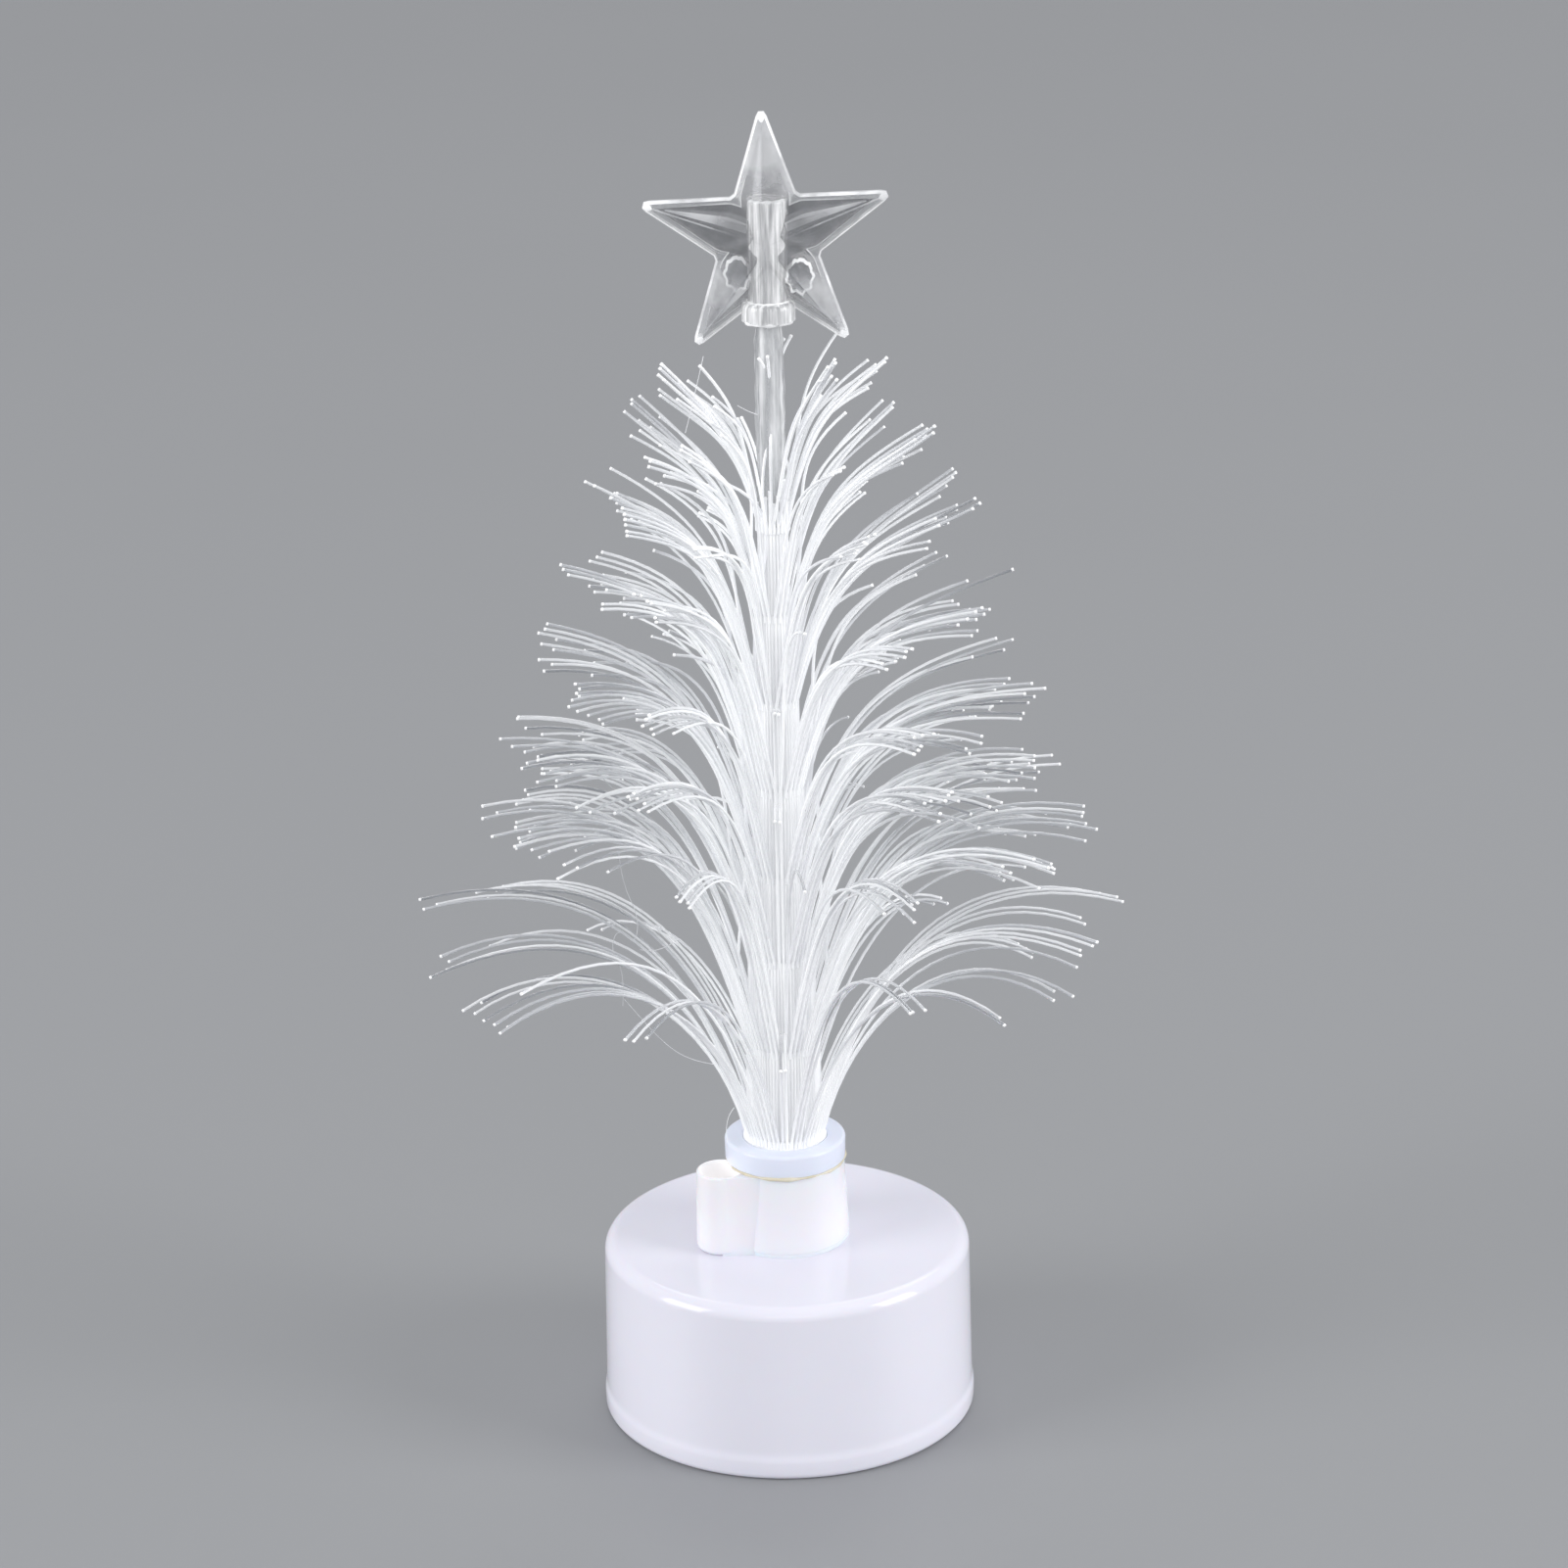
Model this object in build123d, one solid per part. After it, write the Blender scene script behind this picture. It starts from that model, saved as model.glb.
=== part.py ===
from build123d import *
import os
from math import atan2, cos, hypot, pi, radians, sin

os.makedirs("parts", exist_ok=True)

# Frame: millimetres, Z up, origin on the surface that the lamp stands on, on the
# axis of the base. -Y is the front, where the star faces, and +X is to its right.

# Housing: an upturned cup with a foot and a rounded shoulder, as wide as its door asks
foot_step = 0.4
foot_height = 2.5
shoulder_round = 1.3
shoulder_bands = 2
housing_wall = 1.5
housing_top = 1.5
headroom = 1.2

# Ribs inside the housing that stop the bottom cover, and the catches that hold it
rib_angles = (45, 135, 225, 315)
rib_width = 1.2
rib_depth = 1.5
catch_width = 3.0
catch_reach = 0.6
catch_height = 0.8

# Bottom cover, set up inside the foot
cover_recess = 1.6
cover_thickness = 1.4
cover_gap = 0.2

# Screws of the battery door
screw_diameter = 1.7
screw_head_diameter = 3.3
screw_head_height = 1.0
screw_length = 4.6
screw_hole_gap = 0.25
pilot_gap = 0.1
pilot_extra = 0.9
pilot_roof = 0.8
cross_width = 0.5
cross_length = 1.9
cross_depth_share = 0.6

# Button cells, lying side by side along X
cell_diameter = 11.6
cell_thickness = 5.4
cell_count = 3
cell_gap = 0.2
contact_room = 0.9

# Battery compartment in the cover, and its door
compartment_y = -7.2
compartment_wall = 0.8
door_thickness = 1.3
door_gap = 0.25
door_seat_gap = 0.1
door_lap = 0.55
door_pad = 1.2
door_pad_height = 1.1
door_ear_width = 5.0
door_ear_chamfer = 1.4
door_boss_width = 6.4
door_margin = 0.93
nail_notch_length = 5.0
nail_notch_depth = 0.7

# Battery contacts
contact_thickness = 0.4
contact_width = 6.0
contact_bump_diameter = 3.4
contact_tab_width = 2.0
contact_slot_gap = 0.2
leaf_thickness = 0.25
leaf_half_length = 4.0
leaf_width = 3.0

# Circuit board, between the contacts and in front of the switch's lead
board_side_gap = 1.0
board_front = 5.7
board_back_gap = 2.1
board_thickness = 1.0
lead_hole_size = 0.7

# Light: a five millimetre lamp with a domed lens
lamp_diameter = 4.9
lamp_flange_diameter = 5.7
lamp_flange_height = 1.0
lamp_height = 8.6
lens_bands = 1
lamp_lead_size = 0.5
lamp_lead_pitch = 2.54
lamp_lead_length = 1.6

# Slide switch on the cover
switch_y = 9.4
switch_length = 8.6
switch_width = 3.8
switch_height = 3.3
switch_sheet = 0.3
switch_base = 0.8
switch_pin_pitch = 2.5
switch_pin_length = 2.2
switch_pin_width = 0.7
switch_pin_thickness = 0.3
switch_travel = 2.0
knob_length = 1.5
knob_width = 1.6
knob_reach = 1.2
knob_block_length = 3.4
knob_side_gap = 0.3
knob_top_gap = 0.4
knob_gap = 0.1
slot_gap = 0.3
switch_rib = 0.7
switch_rib_height = 1.8

# Fibre holder: a round tower with a spigot below and a side socket
tower_wall = 1.65
tower_height = 8.9
tower_floor = 1.0
spigot_wall = 1.05
spigot_gap = 0.1
socket_angle = 205.0
socket_web = 0.41
socket_wall = 0.5
socket_bore = 4.3
socket_floor = 1.0

# Collar that closes the tower round the fibres
collar_step = 0.1
collar_height = 2.6
collar_wall = 0.45
collar_fit = 0.04
collar_skirt = 3.4

# Fibre bundle, which sheds one layer of fibres at each tier
fibre_gap = 0.05
bundle_light_gap = 0.6
trunk_rise = 0.8
clear_stem = 29.7
fibre_depth = 0.3
fibre_width = 0.38
fibre_side_gap = 0.05
fibre_root = 0.2
root_inset = 0.13
layer_gap = 0.095
slice_sides = 24
tree_reach = 39.4
front_reach_share = 0.68
front_spread_share = 0.38
low_reach_share = 0.84
uneven_share = 0.02
leave_shares = (0, 0.15, 0.3, 0.44, 0.58, 0.72, 0.86, 1.0)
left_reach_shares = (1.0, 0.8, 0.76, 0.668, 0.576, 0.487, 0.406, 0.312)
right_reach_shares = (0.914, 0.883, 0.731, 0.726, 0.642, 0.546, 0.454, 0.343)
left_rise_shares = (0.361, 0.413, 0.382, 0.376, 0.378, 0.358, 0.315, 0.264)
right_rise_shares = (0.369, 0.375, 0.337, 0.317, 0.326, 0.32, 0.307, 0.287)
drop_shares = (0.134, 0.067, 0.067, 0.067, 0.067, 0.06, 0.06, 0.052)
tip_slopes = (-16, -8, 0, 8, 18, 28, 38, 50)
leave_angle = 14
low_slope = -18
ribbon_sizes = (3, 2, 4, 1, 3, 2)
ribbon_levels = 5
start_pull_share = 0.52
tip_pull_share = 0.42
strand_steps = (3, 3, 3, 3, 2, 2, 2, 2)

# Stem: a clear tube round the fibres that light the star
stem_diameter = 2.6
stem_wall = 0.25
stem_fibre_diameter = 0.62
stem_fibre_ring = 6

# Star: two clear half shells with a socket for the stem
star_height = 128.5
star_radius = 12.9
star_valley = 5.6
star_turn = 1.6
star_points = 5
star_tip_width = 0.6
star_rim = 0.5
star_depth = 3.4
star_wall = 0.8
star_socket_wall = 0.67
star_socket_top = 4.1
star_socket_roof = 0.5
star_neck_step = 0.7
star_neck_bottom = 8.6
star_neck_top = 6.2
star_neck_bevel = 0.4
stem_fit = 0.03

# Glue inside the star, an uneven blob on each side of the socket
star_glue_thickness = 1.0
star_glue_size = 2.3
star_glue_drop = 3.1
star_glue_shares = (
    (0, -0.5), (0.3, -0.62), (0.55, -0.45), (0.8, -0.5), (0.95, -0.1),
    (0.8, 0.15), (0.9, 0.45), (0.5, 0.6), (0.25, 0.5), (0, 0.62),
)

# Leads from the battery contacts to the switch and the board
lead_diameter = 0.9
lead_bend = 1.6

# Places shared by several pieces: the battery compartment and its door
cut_over = 1.0
cover_top = cover_recess + cover_thickness
stack_length = cell_count * cell_thickness
compartment_length = stack_length + 2 * contact_room
compartment_width = cell_diameter + 2 * cell_gap
door_top = cover_recess + door_thickness
compartment_floor = door_top + door_seat_gap
cell_axis = compartment_floor + cell_gap + cell_diameter / 2
compartment_roof = cell_axis + cell_diameter / 2 + cell_gap
door_length = compartment_length + 2 * door_lap
door_width = compartment_width + 2 * door_lap
door_screw_x = compartment_length / 2 + compartment_wall + door_ear_width / 2
screw_hole_diameter = screw_diameter + 2 * screw_hole_gap
pilot_diameter = screw_diameter + 2 * pilot_gap
pilot_top = cover_recess + screw_length + pilot_extra
ear_reach = hypot(door_screw_x + door_ear_width / 2, door_ear_width / 2 - door_ear_chamfer - compartment_y)
plate_reach = hypot(door_length / 2, door_width / 2 - compartment_y)

# Housing, board and switch
cover_radius = max(ear_reach, plate_reach) + door_margin
housing_inner = cover_radius + cover_gap
side_diameter = 2 * (housing_inner + housing_wall)
foot_diameter = side_diameter + 2 * foot_step
board_bottom = compartment_roof + compartment_wall
board_top = board_bottom + board_thickness
ceiling = board_top + headroom
housing_height = ceiling + housing_top
board_length = compartment_length - contact_slot_gap - 2 * contact_thickness - 2 * board_side_gap
board_back = switch_y - board_back_gap
board_width = board_front + board_back
board_y = (board_back - board_front) / 2
knob_block_width = switch_width - 2 * switch_sheet - 2 * knob_side_gap
knob_block_height = switch_height - switch_base - switch_sheet - knob_gap - knob_top_gap

# Bundle, collar and tower, each as wide as what it holds
tiers = len(leave_shares)
layer = fibre_depth + layer_gap
fibre_spacing = fibre_width + fibre_side_gap
bundle_diameter = stem_diameter + 2 * tiers * layer
skirt_diameter = bundle_diameter + 2 * (fibre_gap + collar_wall)
tower_bore = skirt_diameter + 2 * collar_fit
tower_diameter = tower_bore + 2 * tower_wall
collar_diameter = tower_diameter - 2 * collar_step
spigot_bore = lamp_flange_diameter + 2 * spigot_gap
spigot_diameter = spigot_bore + 2 * spigot_wall
socket_diameter = socket_bore + 2 * socket_wall
socket_distance = tower_bore / 2 + socket_web + socket_bore / 2
socket_x = socket_distance * cos(radians(socket_angle))
socket_y = socket_distance * sin(radians(socket_angle))
tower_top = housing_height + tower_height
collar_top = tower_top + collar_height
bundle_bottom = board_top + lamp_height + bundle_light_gap

# Shelves where the tiers leave the bundle, and the star's socket
first_shelf = collar_top + trunk_rise
trunk_length = star_height - clear_stem - first_shelf
shelves = [first_shelf + trunk_length * share for share in leave_shares]
slice_radii = [bundle_diameter / 2 - layer * k for k in range(tiers)]
star_socket_diameter = stem_diameter + 2 * (stem_fit + star_socket_wall)
star_neck_diameter = star_socket_diameter + 2 * star_neck_step
stem_top = star_height + star_socket_top - star_socket_roof


def disc(diameter, bottom, height, x=0, y=0):
    """A round solid that stands on the height given."""
    return Pos(x, y, bottom) * extrude(Circle(diameter / 2), height)


def block(length, width, bottom, height, x=0, y=0):
    """A rectangular solid that stands on the height given."""
    return Pos(x, y, bottom) * extrude(Rectangle(length, width), height)


def turned(points):
    """A solid turned about Z from its (radius, height) outline."""
    outline = make_face(Polyline([(r, 0, z) for r, z in points], close=True))
    return revolve(outline, Axis.Z)


def quarter_round(radius, r, z, bands):
    """Outline points that follow a quarter circle in from (r, z) to its top."""
    turns = [pi / 2 * i / bands for i in range(bands + 1)]
    return [(r - radius + radius * cos(a), z + radius * sin(a)) for a in turns]


def save(shape, name):
    export_step(shape, f"parts/{name}.step")


# Housing and its covers


def housing():
    foot = foot_diameter / 2
    side = side_diameter / 2
    hole = spigot_diameter / 2 + spigot_gap
    cup = turned([
        (housing_inner, 0),
        (foot, 0),
        (foot, foot_height),
        (side, foot_height),
        *quarter_round(shoulder_round, side, housing_height - shoulder_round, shoulder_bands),
        (hole, housing_height),
        (hole, ceiling),
        (housing_inner, ceiling),
    ])
    root = housing_wall / 2
    rib_length = rib_depth + root
    rib = block(rib_length, rib_width, cover_top, ceiling - cover_top,
                housing_inner + root - rib_length / 2)
    wedge = make_face(Polyline([
        (housing_inner - catch_reach, cover_recess),
        (housing_inner + root, cover_recess),
        (housing_inner + root, cover_recess - catch_height),
        (housing_inner, cover_recess - catch_height),
    ], close=True))
    catch = extrude(Plane.XZ * wedge, catch_width / 2, both=True)
    for angle in rib_angles:
        cup += Rot(0, 0, angle) * (rib + catch)
    return cup


def door_outline(grow):
    """Plan of the battery door: a plate with an ear for a screw at each end."""
    plate = Rectangle(door_length + 2 * grow, door_width + 2 * grow)
    ears = Rectangle(2 * door_screw_x + door_ear_width + 2 * grow, door_ear_width + 2 * grow)
    return Pos(0, compartment_y) * (plate + chamfer(ears.vertices(), door_ear_chamfer))


def bottom_cover():
    wall_length = compartment_length + 2 * compartment_wall
    wall_width = compartment_width + 2 * compartment_wall
    cover = disc(2 * cover_radius, cover_recess, cover_thickness)
    raised = Pos(0, 0, cover_recess) * extrude(
        door_outline(door_pad), cover_thickness + door_pad_height)
    raised += block(wall_length, wall_width, cover_recess, board_bottom - cover_recess, 0, compartment_y)
    for side in (-1, 1):
        raised += block(door_boss_width, door_boss_width, cover_recess,
                        pilot_top + pilot_roof - cover_recess, side * door_screw_x, compartment_y)
    cover += raised & disc(2 * (cover_radius - cover_gap), 0, ceiling)
    rib = 2 * switch_rib + 2 * door_seat_gap
    cover += block(switch_length + rib, switch_width + rib, cover_recess,
                   cover_thickness + switch_rib_height, 0, switch_y)
    # Cuts: door recess, cell space, contact slots, pilot holes, switch pocket and slot
    cover -= Pos(0, 0, cover_recess - cut_over) * extrude(
        door_outline(door_gap), door_thickness + door_seat_gap + cut_over)
    cover -= block(compartment_length, compartment_width, cover_recess,
                   compartment_roof - cover_recess, 0, compartment_y)
    for side in (-1, 1):
        cover -= block(contact_thickness + 2 * contact_slot_gap, contact_tab_width + 2 * contact_slot_gap,
                       compartment_roof - cut_over, 2 * cut_over + compartment_wall,
                       side * (compartment_length / 2 - contact_thickness / 2 - contact_slot_gap),
                       compartment_y)
        cover -= disc(pilot_diameter, cover_recess, pilot_top - cover_recess,
                      side * door_screw_x, compartment_y)
    cover -= block(switch_length + 2 * door_seat_gap, switch_width + 2 * door_seat_gap, cover_top,
                   switch_rib_height + cut_over, 0, switch_y)
    cover -= block(knob_length + switch_travel + 2 * slot_gap, knob_width + 2 * slot_gap, 0, ceiling,
                   0, switch_y)
    return cover


def battery_door():
    door = Pos(0, 0, cover_recess) * extrude(door_outline(0), door_thickness)
    for side in (-1, 1):
        door -= disc(screw_hole_diameter, 0, ceiling, side * door_screw_x, compartment_y)
    notch = block(nail_notch_length, 2 * nail_notch_depth, 0, cover_recess + nail_notch_depth,
                  0, compartment_y + door_width / 2)
    return door - notch


def door_screws():
    """Two pan headed screws that point up, with a cross recess in the head."""
    bottom = cover_recess - screw_head_height
    head = disc(screw_head_diameter, bottom, screw_head_height)
    shank = disc(screw_diameter, cover_recess, screw_length)
    depth = screw_head_height * cross_depth_share
    bar = block(cross_length, cross_width, bottom, depth)
    crossbar = block(cross_width, cross_length, bottom, depth)
    screw = head + shank - bar - crossbar
    return Compound(children=[Pos(side * door_screw_x, compartment_y, 0) * screw for side in (-1, 1)])


# Battery, contacts, board, light and switch


def button_cell(number):
    """One cell on its edge."""
    start = -stack_length / 2 + number * cell_thickness
    cell = extrude(Circle(cell_diameter / 2), cell_thickness)
    return Pos(start, compartment_y, cell_axis) * Rot(0, 90, 0) * cell


def contact_plate():
    """The plain contact at +X, with a bump for the cell and a tab up to its lead."""
    x = compartment_length / 2 - contact_thickness / 2 - contact_slot_gap / 2
    reach = x - contact_thickness / 2 - stack_length / 2 - fibre_gap
    plate = block(contact_thickness, contact_width, compartment_floor + cell_gap,
                  compartment_roof - compartment_floor - 2 * cell_gap, x, compartment_y)
    tab = block(contact_thickness, contact_tab_width, cell_axis, board_top - cell_axis, x, compartment_y)
    bump = extrude(Circle(contact_bump_diameter / 2), reach + contact_thickness / 2)
    return plate + tab + Pos(x, compartment_y, cell_axis) * Rot(0, -90, 0) * bump


def contact_leaf():
    """The sprung contact at -X: a plate with a bowed leaf that presses on the cell."""
    x = contact_thickness / 2 + contact_slot_gap / 2 - compartment_length / 2
    inner = x + contact_thickness / 2
    reach = -stack_length / 2 - fibre_gap - inner
    half = leaf_half_length
    plate = block(contact_thickness, contact_width, compartment_floor + cell_gap,
                  compartment_roof - compartment_floor - 2 * cell_gap, x, compartment_y)
    tab = block(contact_thickness, contact_tab_width, cell_axis, board_top - cell_axis, x, compartment_y)
    bow = make_face(Polyline([
        (0, -half), (reach, -half / 2), (reach, half / 2), (0, half),
        (0, half - 2 * leaf_thickness), (reach - leaf_thickness, half / 2 - leaf_thickness),
        (reach - leaf_thickness, leaf_thickness - half / 2), (0, 2 * leaf_thickness - half),
    ], close=True))
    leaf = extrude(Plane.XZ * bow, leaf_width / 2, both=True)
    return plate + tab + Pos(inner, compartment_y, cell_axis) * leaf


def circuit_board():
    board = block(board_length, board_width, board_bottom, board_thickness, 0, board_y)
    for side in (-1, 1):
        board -= block(lead_hole_size, lead_hole_size, 0, housing_height, side * lamp_lead_pitch / 2)
    return board


def lamp():
    radius = lamp_diameter / 2
    flange = lamp_flange_diameter / 2
    return turned([
        (0, board_top),
        (flange, board_top),
        (flange, board_top + lamp_flange_height),
        (radius, board_top + lamp_flange_height),
        *quarter_round(radius, radius, board_top + lamp_height - radius, lens_bands),
    ])


def lamp_leads():
    length = board_thickness + lamp_lead_length - lamp_flange_height
    return Compound(children=[
        block(lamp_lead_size, lamp_lead_size, board_top - length, length, side * lamp_lead_pitch / 2)
        for side in (-1, 1)
    ])


def switch_shell():
    """Sheet metal case, open above, with a slot below for the knob."""
    shell = block(switch_length, switch_width, cover_top, switch_height, 0, switch_y)
    shell -= block(switch_length - 2 * switch_sheet, switch_width - 2 * switch_sheet,
                   cover_top + switch_sheet, switch_height, 0, switch_y)
    return shell - block(knob_length + switch_travel + slot_gap, knob_width + slot_gap, 0, ceiling,
                         0, switch_y)


def switch_terminals():
    """Insulating base in the top of the case, with three pins."""
    bottom = cover_top + switch_height - switch_base
    base = block(switch_length - 2 * switch_sheet - knob_gap, switch_width - 2 * switch_sheet - knob_gap,
                 bottom, switch_base, 0, switch_y)
    for place in (-1, 0, 1):
        base += block(switch_pin_width, switch_pin_thickness, bottom, switch_base + switch_pin_length,
                      place * switch_pin_pitch, switch_y)
    return base


def switch_knob():
    """Knob at its off end, towards -X, with the block that keeps it in the case."""
    x = -switch_travel / 2
    floor = cover_top + switch_sheet + knob_gap
    knob = block(knob_length, knob_width, cover_recess - knob_reach, floor - cover_recess + knob_reach,
                 x, switch_y)
    return knob + block(knob_block_length, knob_block_width, floor, knob_block_height, x, switch_y)


def lead(points):
    """A thin insulated wire through the points, six sided and mitred at its bends."""
    path = Polyline(*points)
    section = Plane(origin=path @ 0, z_dir=path % 0) * RegularPolygon(lead_diameter / 2, 6)
    return sweep(section, path, transition=Transition.RIGHT)


def leads():
    level = board_top + lead_diameter / 2 + fibre_gap
    end_x = compartment_length / 2 - contact_thickness / 2 - contact_slot_gap / 2
    side_x = end_x + lead_bend
    board_side = board_y + 2 * lead_bend
    pin_top = cover_top + switch_height + switch_pin_length + lead_diameter / 2
    return {
        "lead_red": lead([
            (end_x, compartment_y, level),
            (side_x, compartment_y + 3 * lead_bend, level),
            (side_x, board_back, level),
            (side_x, switch_y, level - lead_bend),
            (side_x, switch_y, pin_top + lead_bend),
            (switch_pin_pitch, switch_y, pin_top),
        ]),
        "lead_black": lead([
            (-end_x, compartment_y, level),
            (-side_x, compartment_y + 3 * lead_bend, level),
            (-side_x, board_side - lead_bend, level),
            (-board_length / 2 + lead_diameter, board_side, level),
        ]),
        "lead_switch": lead([
            (0, switch_y, pin_top),
            (0, switch_y, level - lead_bend),
            (0, board_back + lead_diameter, level),
            (0, board_back - lead_bend, level),
        ]),
    }


# Fibre holder and collar


def fibre_holder():
    holder = disc(tower_diameter, housing_height, tower_height)
    holder += disc(spigot_diameter, board_top, housing_height - board_top)
    holder += disc(socket_diameter, housing_height, tower_height, socket_x, socket_y)
    holder -= disc(tower_bore, housing_height + tower_floor, tower_height)
    holder -= disc(spigot_bore, board_top, tower_height)
    return holder - disc(socket_bore, housing_height + socket_floor, tower_height, socket_x, socket_y)


def fibre_collar():
    """A ring that stands on the tower, with a skirt down inside it."""
    collar = disc(collar_diameter, tower_top, collar_height)
    collar += disc(skirt_diameter, tower_top - collar_skirt, collar_skirt)
    return collar - disc(skirt_diameter - 2 * collar_wall, 0, collar_top + cut_over)


# Fibres


def curve_point(controls, share):
    """A point of the cubic curve that four (radius, height) controls draw."""
    rest = 1 - share
    weights = (rest ** 3, 3 * rest ** 2 * share, 3 * rest * share ** 2, share ** 3)
    return tuple(sum(w * c[axis] for w, c in zip(weights, controls)) for axis in (0, 1))


def ribbons(count):
    """The strands of one tier, parted into ribbons of a few neighbours each."""
    groups = []
    first = 0
    while first < count:
        size = min(ribbon_sizes[len(groups) % len(ribbon_sizes)], count - first)
        groups.append(range(first, first + size))
        first += size
    return groups


def strand_line(tier, number, middle, level, count):
    """One strand's line as (run, height) from its root, the root's place and the heading.

    A ribbon's strands share the heading of its middle, which turns towards the two sides,
    so the strands part in front and behind. Level runs from the tier's top ribbon, 0, to 1."""
    angle = 2 * pi * (number + tier / 2) / count
    middle_angle = 2 * pi * (middle + tier / 2) / count
    heading = atan2(front_spread_share * sin(middle_angle), cos(middle_angle))
    right = (1 + cos(heading)) / 2
    reach_share = right_reach_shares[tier] * right + left_reach_shares[tier] * (1 - right)
    rise_share = right_rise_shares[tier] * right + left_rise_shares[tier] * (1 - right)
    side_share = 1 - (1 - front_reach_share) * sin(heading) ** 2
    uneven = 1 + uneven_share * sin((number + 1) * (tier + 2))
    reach = tree_reach * reach_share * side_share * uneven
    reach *= 1 - (1 - low_reach_share) * level
    rise = trunk_length * (rise_share - drop_shares[tier] * level)
    slope = radians(tip_slopes[tier] + low_slope * level)
    root_radius = slice_radii[tier] - root_inset - fibre_depth / 2
    root_radius += fibre_width / 2 * abs(sin(heading - angle))
    root = (0, shelves[tier] - fibre_root)
    tip = (reach - root_radius, shelves[tier] + rise)
    span = hypot(tip[0] - root[0], tip[1] - root[1])
    steps = strand_steps[tier]
    start = (
        root[0] + span * start_pull_share * sin(radians(leave_angle)),
        root[1] + span * start_pull_share * cos(radians(leave_angle)),
    )
    end = (
        tip[0] - span * tip_pull_share * cos(slope),
        tip[1] - span * tip_pull_share * sin(slope),
    )
    line = [curve_point((root, start, end, tip), i / steps) for i in range(steps + 1)]
    return line, (root_radius * cos(angle), root_radius * sin(angle)), heading


def strand(tier, number, middle, level, count):
    """A three sided strand: a flat upper face and a ridge along its underside."""
    line, place, heading = strand_line(tier, number, middle, level, count)
    slopes = [atan2(b[1] - a[1], b[0] - a[0]) for a, b in zip(line, line[1:])]
    before = [slopes[0]] + slopes
    after = slopes + [slopes[-1]]
    sections = []
    for (r, z), first, second in zip(line, before, after):
        slope = (first + second) / 2
        reach = fibre_depth / 2 / cos((first - second) / 2)
        out = (sin(slope) * reach, -cos(slope) * reach)
        half = fibre_width / 2
        sections.append(Wire.make_polygon([
            (r + out[0], 0, z + out[1]),
            (r - out[0], half, z - out[1]),
            (r - out[0], -half, z - out[1]),
        ]))
    return Pos(place[0], place[1], 0) * Rot(0, 0, heading * 180 / pi) * Solid.make_loft(sections, ruled=True)


def fibre_tier(tier):
    """A slice of the bundle and the layer of strands that leaves it at its top."""
    bottom = shelves[tier - 1] if tier else collar_top
    section = RegularPolygon(slice_radii[tier], slice_sides)
    piece = Pos(0, 0, bottom) * extrude(section, shelves[tier] - bottom)
    root_radius = slice_radii[tier] - root_inset - fibre_depth
    count = 2 * int(pi * root_radius / fibre_spacing)
    strands = []
    for ribbon, members in enumerate(ribbons(count)):
        middle = (members[0] + members[-1]) / 2
        level = (2 * ribbon + tier) % ribbon_levels / (ribbon_levels - 1)
        strands += [strand(tier, number, middle, level, count) for number in members]
    return piece.fuse(*strands), count


def fibre_bundle():
    """The bound root of the fibres, with its polished face over the light."""
    return disc(bundle_diameter, bundle_bottom, collar_top - bundle_bottom)


def stem_tube():
    height = stem_top - shelves[-1]
    tube = disc(stem_diameter, shelves[-1], height)
    return tube - disc(stem_diameter - 2 * stem_wall, shelves[-1] - cut_over, height + 2 * cut_over)


def stem_fibres():
    """Seven fibres that run up the stem to the star."""
    height = stem_top - shelves[-1]
    ring = (stem_diameter / 2 - stem_wall) - stem_fibre_diameter / 2 - fibre_gap / 2
    places = [(0, 0)] + [
        (ring * cos(2 * pi * i / stem_fibre_ring), ring * sin(2 * pi * i / stem_fibre_ring))
        for i in range(stem_fibre_ring)
    ]
    shape = RegularPolygon(stem_fibre_diameter / 2, stem_fibre_ring)
    return Compound(children=[Pos(x, y, shelves[-1]) * extrude(shape, height) for x, y in places])


# Star


def star_points_at(share, depth):
    """Corners of the star, shrunk to a share of its size, at a depth in front."""
    half = star_tip_width / 2
    corners = []
    for i in range(star_points):
        tip_angle = pi / 2 + radians(star_turn) + 2 * pi * i / star_points
        valley_angle = tip_angle + pi / star_points
        for across in (-half, half):
            corners.append((
                star_radius * cos(tip_angle) - across * sin(tip_angle),
                star_radius * sin(tip_angle) + across * cos(tip_angle),
            ))
        corners.append((star_valley * cos(valley_angle), star_valley * sin(valley_angle)))
    return [(x * share, -depth, z * share) for x, z in corners]


def star_half(share, depth):
    """One half of the star towards -Y: a flat rim, then faces that rise to a point."""
    rim = extrude(make_face(Polyline(star_points_at(share, 0), close=True)), star_rim, dir=(0, -1, 0))
    base = star_points_at(share, star_rim)
    peak = (0, -depth, 0)
    sides = [Face(Wire.make_polygon([a, b, peak])) for a, b in zip(base, base[1:] + base[:1])]
    return rim + Solid(Shell([Face(Wire.make_polygon(base)), *sides]))


def star_shell():
    """The hollow star with a round way for its socket, before it is parted in two."""
    edge = hypot(star_radius - star_valley * cos(pi / star_points), star_valley * sin(pi / star_points))
    edge_distance = star_radius * star_valley * sin(pi / star_points) / edge
    inner_share = 1 - star_wall / edge_distance
    half = star_half(1, star_depth) - star_half(inner_share, star_depth - star_wall)
    shell = Pos(0, 0, star_height) * (half + mirror(half, Plane.XZ))
    neck_bottom = star_height - star_neck_bottom
    shell -= disc(star_socket_diameter, neck_bottom, star_neck_bottom + star_socket_top)
    return shell - disc(star_neck_diameter, neck_bottom, star_neck_bottom - star_neck_top)


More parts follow.
